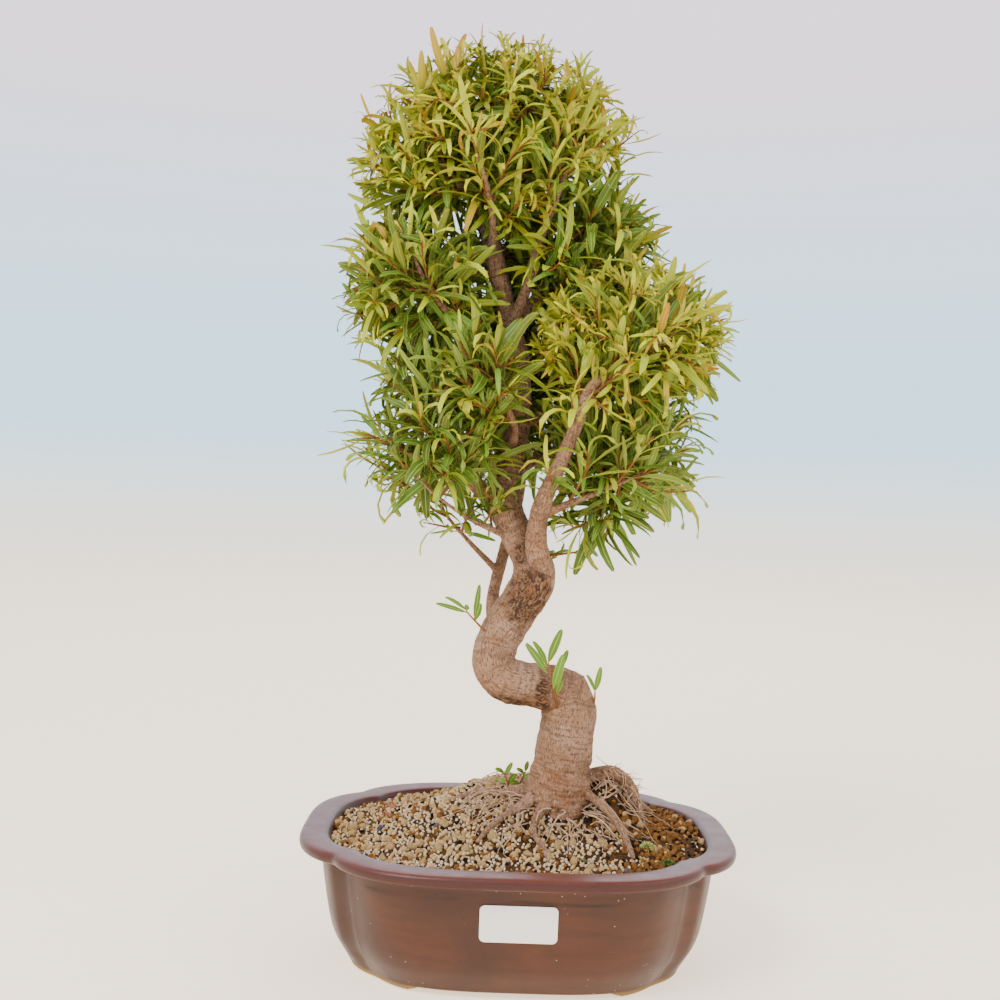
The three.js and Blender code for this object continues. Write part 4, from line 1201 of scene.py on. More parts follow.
# Marks of age on the bark: middle, spread, and how strongly each is old, cracked bark.
OLD_BARK = [((3, -10, 179), (16, 12, 18), 1.0), ((9.5, -15, 131), (4, 9, 15), 1.0),
            ((-6, 6, 196), (9, 9, 14), 0.5), ((-4, -14, 129), (20, 9, 6), 0.6),
            ((-3, -9, 200), (6, 8, 14), 0.6), ((2, -6, 222), (16, 12, 10), 0.5),
            ((40, -2, 93), (14, 12, 7), 0.55), ((-10, -6, 134), (20, 12, 11), 0.3)]
WARM_BARK = [((14, -16, 88), (12, 12, 12)), ((24, -14, 82), (12, 10, 10)), ((4, -10, 182), (9, 9, 9))]
KNOT = ((-9, -10, 162), 3.2)


def within(point, middle, spread):
    return math.exp(-sum(((p - m) / s) ** 2 for p, m, s in zip(point, middle, spread)))


def bark_height(point, straight, width):
    """How far the bark stands proud at a point, in millimetres, and its old and warm shares."""
    old = max(share * within(point, middle, spread) for middle, spread, share in OLD_BARK)
    ragged = noise.noise(Vector(point) * 0.35)
    old = soft_step(0.3, 0.62, old + 0.22 * ragged)
    warm = min(1, max(within(point, middle, spread) for middle, spread in WARM_BARK) * 1.4)
    thick = soft_step(5, 16, width)
    s = Vector(straight)
    height = 0.9 * thick * noise.noise(s * 0.07) + 0.35 * (0.3 + thick) * noise.noise(s * 0.22)
    height += 0.22 * (0.4 + thick) * noise.noise(Vector((s.x * 0.9, s.y * 0.9, s.z * 0.16)))
    height += 0.16 * (0.4 + thick) * noise.noise(Vector((s.x * 0.1, s.y * 0.1, s.z * 0.8)))
    foot = soft_step(104, 84, point[2]) * thick
    folds = noise.noise(Vector((s.x * 0.06, s.y * 0.06, point[2] * 0.2)))
    height += foot * (2.2 * folds - 1.8 * math.exp(-(folds / 0.09) ** 2) + 0.7 * noise.noise(s * 0.4))
    fissure = noise.voronoi(Vector((s.x * 0.34, s.y * 0.34, s.z * 0.2)))[0]
    height += old * (0.5 - 1.5 * min(fissure[0], 0.6) + 0.5 * ragged)
    middle, size = KNOT
    away = (Vector(point) - Vector(middle)).length / size
    height += 0.8 * math.exp(-((away - 1) / 0.3) ** 2) - 0.5 * math.exp(-(away / 0.5) ** 2)
    return height, old, warm


def make_wood(wood, routes):
    """The trunk, roots and branches, fused into one skin and given bark."""
    points, faces = [], []
    for rows in routes:
        size = "thick" if rows[:, 3].max() > LIMB_SIDES["limit"] else "thin"
        limb_points, limb_faces = limb(rows, LIMB_SIDES[size])
        faces += [tuple(i + len(points) for i in face) for face in limb_faces]
        points += limb_points
    piece = new_piece("wood", mesh_of("wood", points, faces))
    skin = piece.modifiers.new("skin", "REMESH")
    skin.mode, skin.voxel_size, skin.use_smooth_shade = "VOXEL", wood.voxel, True
    smooth = piece.modifiers.new("smooth", "SMOOTH")
    smooth.factor, smooth.iterations = SMOOTHING
    baked(piece)
    mesh = piece.data
    count = len(mesh.vertices)
    places = np.empty(count * 3)
    mesh.vertices.foreach_get("co", places)
    places = places.reshape(-1, 3) / MM
    normals = np.empty(count * 3, np.float32)
    mesh.vertex_normals.foreach_get("vector", normals)
    normals = normals.reshape(-1, 3)
    straight, owner = follow_wood(places, routes)
    widths = np.hypot(straight[:, 0], straight[:, 1]) * 2
    heights, old_bark_and_under_shade, warm_and_under_shade = np.zeros(count), np.zeros(count), np.zeros(count)
    for i in range(count):
        heights[i], old_bark_and_under_shade[i], warm_and_under_shade[i] = bark_height(places[i], straight[i], widths[i])
        # Undersides get painted shade: rust colour in the warm share and, on thick wood, dark cracked bark
        # in the old share, partly real old bark at the bend.
        below = soft_step(0.25, 0.9, -normals[i, 2])
        warm_and_under_shade[i] = min(1, warm_and_under_shade[i] + 0.75 * below)
        old_bark_and_under_shade[i] = max(old_bark_and_under_shade[i], 0.6 * below * soft_step(12, 18, widths[i]))
    heights *= np.clip(widths / 6, 0.15, 1)
    moved = (places + normals * heights[:, None]) * MM
    mesh.vertices.foreach_set("co", moved.ravel())
    straight[:, 2] += owner * GRAIN_SHIFT
    paint_points(mesh, "grain", straight * MM, "FLOAT_VECTOR")
    paint_points(mesh, "old", old_bark_and_under_shade)
    paint_points(mesh, "warm", warm_and_under_shade)
    mesh.shade_smooth()
    mesh.update()
    return piece


def stray(most):
    """A small random push aside."""
    return Vector([random.uniform(-most, most) for _ in range(3)])


# Fine roots that run out from the trunk's foot over the mix, and those that hang from its arched root.
FIBRES = {"count": 150, "start": (13, 30), "halves": (0.22, 0.28, 0.36, 0.5), "low": (0.5, 3.5),
          "high": (3, 7), "points": (7, 15), "step": 2.6, "reach": (88, 68), "edge": 0.97}
ARCH_FIBRES = {"count": 70, "points": 6, "step": 2, "half": 0.3, "taper": 0.04}


def make_fibres(routes):
    """Paths of fine roots that hang from the trunk's foot and run out over the mix."""
    fibres = []
    for number in range(FIBRES["count"]):
        angle = random.uniform(0, TURN)
        start = random.uniform(*FIBRES["start"])
        x, y = TRUNK_FOOT.x + 1.25 * start * math.cos(angle), start * math.sin(angle)
        heading = angle + random.uniform(-0.9, 0.9)
        half = random.choice(FIBRES["halves"])
        lift = random.uniform(*FIBRES["low" if number % 3 else "high"])
        steps = random.randint(*FIBRES["points"])
        path = []
        for step in range(steps):
            share = step / (steps - 1)
            height = mix_height(x, y) + 0.6 + lift * math.sin(math.pi * min(1, share * 1.1 + 0.15))
            path.append(((x, y, height), half * (1.1 - 0.75 * share), 0.2 + 0.6 * random.random()))
            heading += random.uniform(-0.5, 0.5)
            x += FIBRES["step"] * math.cos(heading)
            y += FIBRES["step"] * math.sin(heading)
            if math.hypot(x / FIBRES["reach"][0], y / FIBRES["reach"][1]) > FIBRES["edge"]:
                break
        if len(path) > 3:
            fibres.append(path)
    arch = routes[len(TRUNK) + 1]
    for _ in range(ARCH_FIBRES["count"]):
        row = arch[random.randrange(int(len(arch) * 0.15), len(arch))]
        angle = random.uniform(0, TURN)
        point = Vector(row[:3]) + Vector((math.sin(angle) * 0.5, math.cos(angle), 0.6)) * row[3] * 0.42
        way = Vector((random.uniform(-0.2, 0.9), math.cos(angle), random.uniform(-1.3, 0.1)))
        path = []
        for step in range(ARCH_FIBRES["points"]):
            floor = mix_height(point.x, point.y) + 0.4
            half = ARCH_FIBRES["half"] - ARCH_FIBRES["taper"] * step
            path.append(((point.x, point.y, max(point.z, floor)), half, random.random()))
            way = (way + stray(0.5)).normalized()
            point = point + way * ARCH_FIBRES["step"]
        fibres.append(path)
    return fibres


def blade_mesh(name, bend, sway, stations):
    """A closed blade 1 long along X: its stations are shares of its length, width and fold."""
    path = [Vector((0, 0, 0))]
    ways = []
    steps = 24
    for step in range(steps):
        share = (step + 0.5) / steps
        pitch = -bend * share ** 1.4 * 1.6 + bend * 0.25
        yaw = sway * (share - 0.35)
        way = Vector((math.cos(pitch) * math.cos(yaw), math.sin(yaw), math.sin(pitch)))
        ways.append(way)
        path.append(path[-1] + way / steps)
    points, across = [], []
    for share, wide, fold, thick in stations:
        at = min(int(share * steps), steps - 1)
        middle = path[at].lerp(path[at + 1], share * steps - at)
        way = ways[at]
        side = UP.cross(way).normalized()
        face = way.cross(side)
        edge = face * (fold * wide)
        points += [middle + side * wide / 2 + edge, middle + face * thick / 2,
                   middle - side * wide / 2 + edge, middle - face * thick / 2]
        across += [(share, 0), (share, 0.5), (share, 1), (share, 1.5)]
    points += [path[0], path[-1]]
    across += [(0, 0.5), (1, 0.5)]
    faces = [tuple(reversed(face)) for face in shell_faces(len(stations), 4)]
    mesh = bpy.data.meshes.new(name)
    mesh.from_pydata(points, [], faces)
    mesh.shade_smooth()
    layer = mesh.uv_layers.new(name="UVMap")
    for face in mesh.polygons:
        corners = [across[i] for i in face.vertices]
        under = any(place[1] > 1 for place in corners)
        for loop, (share, place) in zip(face.loop_indices, corners):
            layer.data[loop].uv = (share, 2 if under and place == 0 else place)
    sharp = mesh.attributes.new("sharp_edge", "BOOLEAN", "EDGE")
    count = len(stations) * 4
    for edge in mesh.edges:
        a, b = edge.vertices
        rim = a % 4 in (0, 2) and b % 4 == a % 4 and max(a, b) < count
        sharp.data[edge.index].value = rim
    return mesh


# A blade's stations: share of the length, then width, fold and thickness as shares of the width.
LEAF_STATIONS = [
    (0.05, 0.13, 0, 0.13), (0.2, 0.62, 0.12, 0.09), (0.42, 1, 0.16, 0.06), (0.66, 0.95, 0.15, 0.05),
    (0.86, 0.72, 0.12, 0.05), (0.97, 0.42, 0.05, 0.05),
]
CURLED_STATIONS = [
    (0.05, 0.14, 0, 0.13), (0.15, 0.5, 0.1, 0.1), (0.28, 0.86, 0.16, 0.07), (0.42, 1, 0.2, 0.06),
    (0.56, 1, 0.2, 0.05), (0.7, 0.88, 0.18, 0.05), (0.84, 0.66, 0.15, 0.05), (0.95, 0.34, 0.08, 0.05),
]
# How much each leaf bends back and sways aside.
LEAF_SHAPES = [(0.1, 0), (0.3, 0.15), (0.5, -0.15), (0.8, 0.3), (1.15, -0.3), (-0.35, 0.1)]
CURLED_SHAPES = [(1.7, 0.3), (2.4, -0.5), (3.2, 0.4)]
WIDTH_OF_LENGTH = 0.155
BUD_STATIONS = [(0.1, 0.8, 0, 0.8), (0.35, 1, 0, 1), (0.7, 0.5, 0, 0.6)]


def narrowed(stations, width):
    """A blade's stations with its width as a share of its length."""
    return [(share, wide * width, fold, thick * width) for share, wide, fold, thick in stations]


def leaf_meshes():
    """Leaves from nearly straight to curled, each 1 long."""
    meshes = []
    for shapes, stations in ((LEAF_SHAPES, LEAF_STATIONS), (CURLED_SHAPES, CURLED_STATIONS)):
        for bend, sway in shapes:
            narrow = narrowed(stations, WIDTH_OF_LENGTH)
            meshes.append(blade_mesh(f"leaf_{len(meshes)}", bend, sway, narrow))
    return meshes


def crown_depth(point):
    """How deep a point lies in the crown: 1 on its outside, less inside, and the nearest clump."""
    best, chosen = 1e9, 0
    for number, (middle, reach, _) in enumerate(CLUMPS):
        share = math.sqrt(sum(((p - m) / r) ** 2 for p, m, r in zip(point, middle, reach)))
        if share < best:
            best, chosen = share, number
    return best, chosen


# Places where the crown is open and the wood shows from the front: middle and reach.
WINDOWS = [((-15, -38, 348), (11, 34, 20)), ((-3, -42, 312), (11, 36, 15)), ((2, -36, 262), (9, 34, 22)),
           ((16, -58, 246), (7, 20, 12)), ((0, -40, 230), (10, 36, 12)), ((-60, 0, 321), (13, 60, 12)),
           ((64, -10, 299), (10, 50, 9))]
# Clumps whose middles lie below this height are more open, by this factor.
LOW_CLUMP, OPEN = 265, 1.2


def in_window(point):
    return any(sum(((p - m) / r) ** 2 for p, m, r in zip(point, middle, reach)) < 1
               for middle, reach in WINDOWS)


def ways_out(tries):
    """Ways spread evenly over a sphere, from its top down."""
    for k in range(tries):
        height = 1 - (2 * k + 1) / tries
        ring = math.sqrt(1 - height * height)
        yield Vector((ring * math.cos(k * GOLDEN_ANGLE), ring * math.sin(k * GOLDEN_ANGLE), height))


# Where buds are: the lowest place and the widest wood.
BUD = {"lowest": 205, "widest": 14}


def wood_buds(routes):
    """Places on the crown's wood where a shoot may start, with the wood's way there."""
    buds = []
    for number, rows in enumerate(routes):
        if len(TRUNK) <= number < len(TRUNK) + len(ROOTS):
            continue
        ways = frames_along(rows)[0]
        for i in range(2, len(rows), 2):
            if rows[i, 2] > BUD["lowest"] and rows[i, 3] < BUD["widest"]:
                buds.append((Vector(rows[i, :3]), Vector(ways[i]), rows[i, 3]))
    return buds


# The crown's shoots: the length of a branch's own shoot, the tries on each clump, how far out tips lie, the
# leafy length, how far from its bud a shoot may end and ends best, and where it has new buds and how wide.
SHOOT = {"own": 14, "tries": 520, "reach": (0.88, 1.06), "outside": 0.93, "leafy": (13, 20), "stray": 0.35,
         "rise": 0.25, "least": 8, "most": 62, "best": 30, "buds": (0.45, 0.7), "width": 1.2}
# What it costs a shoot to turn from the way it faces and from the wood's way.
TURN_COST, BRANCH_COST = 34, 14
# The crown's layers, each as shares of the clumps' reach and of the space between shoots.
LAYERS = [(1.0, 1.0), (0.74, 1.0), (0.45, 1.1)]


def best_bud(buds, end, way):
    """The bud from which a shoot reaches its end with the least strain, or None."""
    least, chosen = 1e9, None
    for bud, along, width in buds:
        far = (end - bud).length
        if far < SHOOT["least"] or far > SHOOT["most"]:
            continue
        straight = (end - bud).normalized()
        strain = abs(far - SHOOT["best"]) + TURN_COST * (1 - straight.dot(way))
        strain += BRANCH_COST * (1 - straight.dot(along)) + width
        if strain < least:
            least, chosen = strain, bud
    return chosen


def crown_shoots(leaves, routes):
    """The shoots of the crown, each as its start, its end and the way it faces at its end."""
    apart = leaves.spacing / MM
    buds = wood_buds(routes)
    shoots = []
    for rows in routes[len(TRUNK) + len(ROOTS):]:
        start = Vector(rows[-3, :3])
        way = (Vector(rows[-1, :3]) - start).normalized()
        shoots.append((start, start + way * SHOOT["own"], way))
    for share, widen in LAYERS:
        for middle, reach, _ in CLUMPS:
            gap = apart * widen * (OPEN if middle[2] < LOW_CLUMP else 1)
            middle, reach = Vector(middle), Vector(reach) * share
            for out in ways_out(int(SHOOT["tries"] * share)):
                tip = middle + out * reach * random.uniform(*SHOOT["reach"])
                if crown_depth(tip)[0] < share * SHOOT["outside"]:
                    continue
                way = (out + stray(SHOOT["stray"]) + UP * SHOOT["rise"]).normalized()
                end = tip - way * random.uniform(*SHOOT["leafy"])
                if in_window(end) or any((other[1] - end).length < gap for other in shoots):
                    continue
                start = best_bud(buds, end, way)
                if start is None:
                    continue
                shoots.append((start, end, way))
                along = (end - start).normalized()
                buds += [(start.lerp(end, step), along, SHOOT["width"]) for step in SHOOT["buds"]]
    return shoots


# Tufts of fine young shoots: how young a clump has them, their spacing, the tries, how far out and how far
# below a clump's middle their tips lie, their length, and how near a shoot must be to bear one.
TUFT = {"youth": 0.75, "spacing": 14, "tries": 420, "reach": (0.9, 1.0), "outside": 0.88, "below": 12,
        "rise": 0.55, "length": 6, "near": (3, 24), "own": 12}
TUFT_LEAF = {"count": 11, "lean": (0.5, 1.1), "length": (9, 17), "width": (8, 14),
             "kinds": (0, 1, 2, 3, 4, 6)}


def crown_tufts(shoots):
    """Fine young shoots on the outside of the youngest clumps, from the nearest shoot."""
    tufts = []
    for middle, reach, youth in CLUMPS:
        if youth < TUFT["youth"]:
            continue
        middle, reach = Vector(middle), Vector(reach)
        nearest, farthest = TUFT["near"]
        for out in ways_out(TUFT["tries"]):
            tip = middle + out * reach * random.uniform(*TUFT["reach"])
            if crown_depth(tip)[0] < TUFT["outside"] or tip.z < middle.z - TUFT["below"]:
                continue
            way = (out + UP * TUFT["rise"]).normalized()
            end = tip - way * TUFT["length"]
            if any((other[1] - end).length < TUFT["spacing"] for other in tufts):
                continue
            start = min((shoot[1] for shoot in shoots), key=lambda place: (place - end).length)
            if not nearest < (start - end).length < farthest:
                start = end - way * TUFT["own"]
            tufts.append((start, end, way))
    return tufts


def shoot_path(start, end, way, count):
    """Points on a shoot that leaves the wood towards its end and turns the way it faces."""
    far = (end - start).length
    first = start + (end - start).normalized() * far * 0.35 - UP * far * 0.08
    second = end - way * far * 0.35
    points = []
    for i in range(count):
        t = i / (count - 1)
        points.append(start * (1 - t) ** 3 + first * 3 * t * (1 - t) ** 2
                      + second * 3 * t * t * (1 - t) + end * t ** 3)
    return points


# How near the part's box leaves may come, at the sides and at the top, and how near the wood.
SIDE_MARGIN, TOP_MARGIN, WOOD_MARGIN = 2.5, 1, 0.8
# A twig: its half width at its butt, how much that gains with its length, its half width at its tip, the
# length of its leafy end, the space between its leaves and the length of its bud.
TWIG = {"butt": 0.55, "gain": 0.012, "tip": 0.42, "leafy": 36, "leaf_step": 2.5, "bud": (4.5, 8)}
# A leaf: how often it is tried again and turned, its angle to the twig low down and at the tip, its rise,
# the place at which its depth in the crown is taken, and its length and width as shares of the usual.
LEAF = {"attempts": 5, "turn": 0.8, "spread": (48, 78), "tip_spread": (12, 38), "rise": (-0.1, 0.35),
        "look": 14, "length": (0.62, 1.25), "width": (0.55, 1.2)}


class Foliage:
    """Collects the leaves and buds of all shoots as points with attributes."""

    def __init__(self, leaves, routes):
        self.length = leaves.length / MM
        self.width_scale = leaves.width / (leaves.length * WIDTH_OF_LENGTH)
        self.rows = {"young_leaves": [], "mature_leaves": [], "inner_leaves": [], "tip_buds": []}
        self.twigs = []
        self.wood = np.vstack([rows[::2] for rows in routes])
        low, high = CAD_BOX
        self.low = Vector(low) / MM + Vector((SIDE_MARGIN, SIDE_MARGIN, 0))
        self.high = Vector(high) / MM - Vector((SIDE_MARGIN, SIDE_MARGIN, TOP_MARGIN))

    def clear(self, *points):
        """True where points lie outside the wood and inside the part's box."""
        for point in points:
            if any(not low < p < high for p, low, high in zip(point, self.low, self.high)):
                return False
            gaps = np.linalg.norm(self.wood[:, :3] - np.array(point), axis=1) - self.wood[:, 3] / 2
            if gaps.min() < WOOD_MARGIN:
                return False
        return True

    def add(self, group, base, way, face, size, kind, **shades):
        """One leaf or bud that points along a way, with its face turned towards another."""
        side = face.cross(way).normalized()
        face = way.cross(side)
        turn = Matrix((way, side, face)).transposed().to_euler()
        self.rows[group].append({"place": base, "turn": turn, "size": size, "kind": kind, **shades})

    def grow(self, start, end, way, count=None, size=1.0, youth=0.5):
        """One shoot: its twig, its leaves in a spiral up to the tip, and its bud."""
        far = (end - start).length
        points = shoot_path(start, end, way, max(5, int(far / 5)))
        half = TWIG["butt"] + TWIG["gain"] * far
        last = len(points) - 1
        self.twigs.append([(point, half + (TWIG["tip"] - half) * i / last, i / last)
                           for i, point in enumerate(points)])
        leafy = min(far * 0.9, TWIG["leafy"])
        count = count or int(leafy / TWIG["leaf_step"]) + 4
        lean = random.uniform(0, TURN)
        for number in range(count):
            share = (number + 0.5) / count
            from_end = leafy * (1 - share)
            at = (1 - from_end / far) * last
            i = min(int(at), last - 1)
            base = points[i].lerp(points[i + 1], at - i)
            axis = (points[i + 1] - points[i]).normalized()
            self.add_leaf(base, axis, share, lean + number * GOLDEN_ANGLE, size, youth)
        bud = size * random.uniform(*TWIG["bud"])
        self.add("tip_buds", end, way, UP + Vector((0.3, 0.2, 0)), (bud, bud * 0.8, bud * 0.8), 0,
                 age=random.random(), dark=0, warm=1)

    def add_leaf(self, base, axis, share, angle, size, youth):
        """A leaf at a share of the leafy end, turned on until it finds room, or none."""
        for attempt in range(LEAF["attempts"]):
            side = UP - axis * axis.z
            if side.length < 0.1:
                side = Vector((0, 1, 0)) - axis * axis.y
            turn = Matrix.Rotation(angle + attempt * LEAF["turn"], 3, axis)
            side = (turn @ side.normalized()).normalized()
            spread = random.uniform(*LEAF["spread"]) * (1 - share)
            spread = math.radians(spread + random.uniform(*LEAF["tip_spread"]) * share)
            way = axis * math.cos(spread) + side * math.sin(spread)
            way = (way + UP * random.uniform(*LEAF["rise"])).normalized()
            inside = soft_step(1.0, 0.5, crown_depth(base + way * LEAF["look"])[0])
            grown = 1 - 0.45 * soft_step(0.75, 1, share)
            length = self.length * size * grown * random.uniform(*LEAF["length"]) * (1 + 0.12 * inside)
            if self.clear(base + way * length * 0.5, base + way * length) and not (
                    in_window(base + way * length * 0.6) and random.random() < 0.6):
                break
        else:
            return
        face = (UP * 0.9 + axis * 0.7 - side * 0.2).normalized()
        face = (face + stray(0.35)).normalized()
        wide = length * self.width_scale * random.uniform(*LEAF["width"]) * (0.86 + 0.2 * inside)
        vigour = youth + 0.45 * share - 0.75 * inside + random.uniform(-0.3, 0.3)
        group = "young_leaves" if vigour > 0.5 else "mature_leaves" if inside < 0.6 else "inner_leaves"
        kinds = len(LEAF_SHAPES) + len(CURLED_SHAPES)
        kind = min(int(random.random() ** 1.3 * kinds + (1 if vigour > 0.6 else 0)), kinds - 1)
        if inside > 0.5:
            kind = min(kind, 3)
        # Shades of the leaf; dark is painted shade, more where the leaf lies deep inside the crown.
        shades = {
            "age": min(max(1.1 - vigour + random.uniform(-0.2, 0.2), 0), 1),
            "dark": min(max(0.75 * inside + random.uniform(-0.25, 0.25), 0), 1),
            "warm": max(0, random.uniform(-2.6, 1)) * soft_step(0.3, 0.9, vigour),
        }
        self.add(group, base, way, face, (length, wide, length), kind, **shades)

    def add_tuft(self, start, end, way):
        """A fine young shoot with short thin leaves all round it, bronze towards the tip."""
        points = shoot_path(start, end, way, 5)
        self.twigs.append([(point, 0.5 - 0.05 * i, 0.15 * (4 - i)) for i, point in enumerate(points)])
        for number in range(TUFT_LEAF["count"]):
            share = (number + 1) / TUFT_LEAF["count"]
            at = share * 3.99
            base = points[int(at)].lerp(points[int(at) + 1], at % 1)
            axis = (points[int(at) + 1] - points[int(at)]).normalized()
            side = axis.cross(Vector((0.3, 1, 0.2))).normalized()
            side = Matrix.Rotation(number * GOLDEN_ANGLE, 3, axis) @ side
            lean = random.uniform(*TUFT_LEAF["lean"]) * (1.15 - 0.6 * share)
            leaf_way = (axis * math.cos(lean) + side * math.sin(lean) + UP * 0.15).normalized()
            length = random.uniform(*TUFT_LEAF["length"]) * (1 - 0.3 * share)
            if not self.clear(base + leaf_way * length):
                continue
            face = (UP + axis - side * 0.3).normalized()
            kind = random.choice(TUFT_LEAF["kinds"])
            size = (length, random.uniform(*TUFT_LEAF["width"]), length)
            self.add("young_leaves", base, leaf_way, face, size, kind,
                     age=random.uniform(0, 0.35), dark=0, warm=max(0, random.uniform(-0.4, 0.9)))

    def add_small_shoot(self, stem, blades):
        """A little shoot whose leaves are each given by base, tip and width."""
        points = smooth_route([(*point, 0) for point in stem], 2)[:, :3]
        last = len(points) - 1
        self.twigs.append([(Vector(point), 0.75 - 0.35 * i / last, i / last)
                           for i, point in enumerate(points)])
        for number, (base, tip, wide) in enumerate(blades):
            base, tip = Vector(base), Vector(tip)
            length = (tip - base).length * 1.03
            # The dark share paints shade on these low leaves under the crown.
            self.add("mature_leaves", base, (tip - base).normalized(), Vector((0.2, -0.8, 0.5)),
                     (length, wide / WIDTH_OF_LENGTH, length), (0, 1, 2)[number % 3],
                     age=random.uniform(0.6, 1), dark=random.uniform(0.2, 0.55), warm=0)

    def points_mesh(self, group):
        """A group's leaves or buds as points that a tree puts blades on."""
        rows = self.rows[group]
        mesh = points_of(group, [[row[key] for key in ("place", "turn", "size", "kind")] for row in rows])
        for name in ("age", "dark", "warm"):
            paint_points(mesh, name, [row[name] for row in rows])
        return mesh


def points_of(name, rows):
    """Points that each carry one shape, from rows of its place, turn, size and kind."""
    mesh = bpy.data.meshes.new(name)
    mesh.from_pydata([tuple(place * MM) for place, _, _, _ in rows], [], [])
    paint_points(mesh, "turn", [tuple(turn) for _, turn, _, _ in rows], "FLOAT_VECTOR")
    paint_points(mesh, "size", [tuple(MM * s for s in size) for _, _, size, _ in rows], "FLOAT_VECTOR")
    paint_points(mesh, "kind", [kind for _, _, _, kind in rows], "INT")
    return mesh


def placed_points(name, rows):
    """Points that carry one of two shapes in turn, from rows of its place, its X axis' way and its size."""
    return points_of(name, [(place, way.to_track_quat("X", "Z").to_euler(), size, number % 2)
                            for number, (place, way, size) in enumerate(rows)])


def nodes_of(slot):
    """The solids that take a slot's finish, which the piece of that finish stands for."""
    return [part["node"] for part in frame["record"]["subparts"] if part["material_slot"] == slot]


class BONSAI_OT_pot(bpy.types.Operator):
    """Makes the glazed pot"""

    bl_idname = "bonsai.pot"
    bl_label = "Pot"

    def execute(self, context):
        settings = context.scene.bonsai_pot
        dress(make_pot(), glaze_finish(settings), ["pot"])
        return {"FINISHED"}


class BONSAI_OT_label(bpy.types.Operator):
    """Makes the plain label on the pot's front"""

    bl_idname = "bonsai.label"
    bl_label = "Label"

    def execute(self, context):
        dress(make_label(context.scene.bonsai_pot), paper_finish(), ["blank_label"])
        return {"FINISHED"}


class BONSAI_OT_drain_meshes(bpy.types.Operator):
    """Makes the plastic meshes over the drain holes"""

    bl_idname = "bonsai.drain_meshes"
    bl_label = "Drain Meshes"

    def execute(self, context):
        nodes = ["drain_mesh_left", "drain_mesh_right"]
        dress(make_drain_meshes(), plastic_finish(), nodes)
        return {"FINISHED"}


class BONSAI_OT_mix(bpy.types.Operator):
    """Makes the potting mix and scatters its grains"""

    bl_idname = "bonsai.mix"
    bl_label = "Potting Mix"

    def execute(self, context):
        settings = context.scene.bonsai_mix
        random.seed(SEED)
        bed, top = make_mix_bed()
        dress(bed, humus_finish(settings), ["potting_mix"])
        tree = scatter_tree()
        pumice, clay = settings.pumice_size, settings.clay_size
        kinds = [
            ("pumice_grains", "pumice", 0, pumice * 0.68, pumice * 0.5, pumice * 1.3, 0.0003,
             grain_finish("pumice", settings.pumice, shade(settings.tan_clay, 0.85), 0.0009)),
            ("tan_grains", "tan", 1, clay * 0.95, clay * 0.42, clay * 1.2, 0.0006,
             grain_finish("tan_clay", settings.tan_clay, shade(settings.tan_clay, 0.55), 0.0016)),
            ("brown_grains", "brown", 1, clay * 0.62, clay * 0.4, clay * 0.95, 0.0004,
             grain_finish("brown_clay", settings.brown_clay, shade(settings.brown_clay, 0.45), 0.0014)),
            ("humus_crumbs", "dark", 0, clay * 0.55, clay * 0.3, clay * 0.7, 0.0003,
             grain_finish("dark_crumbs", settings.humus, shade(settings.humus, 0.45), 0.0012)),
            ("stone_grains", "stones", 1, clay, clay * 0.55, clay * 1.1, 0.0006,
             grain_finish("stones", paint("7a6a6c"), paint("4c4146"), 0.002, 0.7)),
        ]
        for number, (name, weight, fine, spacing, low, high, sunk, finish) in enumerate(kinds):
            shapes = as_collection(name + "_shapes", grain_meshes(name, 6, 1 + fine, 0.75))
            values = {"Grains": shapes, "Material": finish, "Weight": weight, "Spacing": spacing,
                      "Size Low": low, "Size High": high, "Sunk": sunk, "Seed": SEED + number}
            dress(run_tree(name, top.copy(), tree, values), finish)
            discard(shapes)
        self.add_moss()
        self.add_chips()
        return {"FINISHED"}

    def add_moss(self):
        """Tufts of moss: short blades all over small cushions."""
        blade = blade_mesh("moss", 0.4, 0, narrowed(BUD_STATIONS, 0.3))
        blades = as_collection("moss_shapes", [blade])
        for tint, light, dark in (("pale", "c9d07a", "8b9a46"), ("deep", "6d8c2e", "2f4a18")):
            rows = []
            for (x, y), width, kind in MOSS:
                for _ in range(int(14 * width) if kind == tint else 0):
                    out = Vector([random.gauss(0, 1) for _ in range(3)]).normalized()
                    out.z = abs(out.z)
                    place = Vector((x, y, mix_height(x, y) + 0.6)) + out * width * 0.32
                    size = width * random.uniform(0.24, 0.36)
                    rows.append((place, out, (size, size, size)))
            finish = moss_finish("moss_" + tint, paint(light), paint(dark))
            placed = run_tree("moss_" + tint, placed_points("moss_" + tint, rows), blade_tree(),
                              {"Blades": blades, "Material": finish})
            dress(placed, finish)
        discard(blades)

    def add_chips(self):
        """Flat chips of bark that lie on the mix."""
        shapes = as_collection("chip_shapes", grain_meshes("chip", 2, 2, 0.9))
        rows = []
        for (x, y), width, narrow in CHIPS:
            way = Vector((1, random.uniform(-0.9, -0.3), -0.1)).normalized()
            size = (width, width * narrow, width * 0.2)
            rows.append((Vector((x, y, mix_height(x, y) + 2.2)), way, size))
        finish = chip_finish()
        placed = run_tree("bark_chips", placed_points("bark_chips", rows), blade_tree(),
                          {"Blades": shapes, "Material": finish})
        dress(placed, finish)
        discard(shapes)


class BONSAI_OT_wood(bpy.types.Operator):
    """Makes the trunk, the roots and the branches"""

    bl_idname = "bonsai.wood"
    bl_label = "Wood"

    def execute(self, context):
        settings = context.scene.bonsai_wood
        random.seed(SEED + 1)
        routes = wood_routes()
        dress(make_wood(settings, routes), bark_finish(settings), ["trunk"])
        roots = root_finish(settings)
        dress(grow_stems("fine_roots", make_fibres(routes), roots), roots)
        return {"FINISHED"}


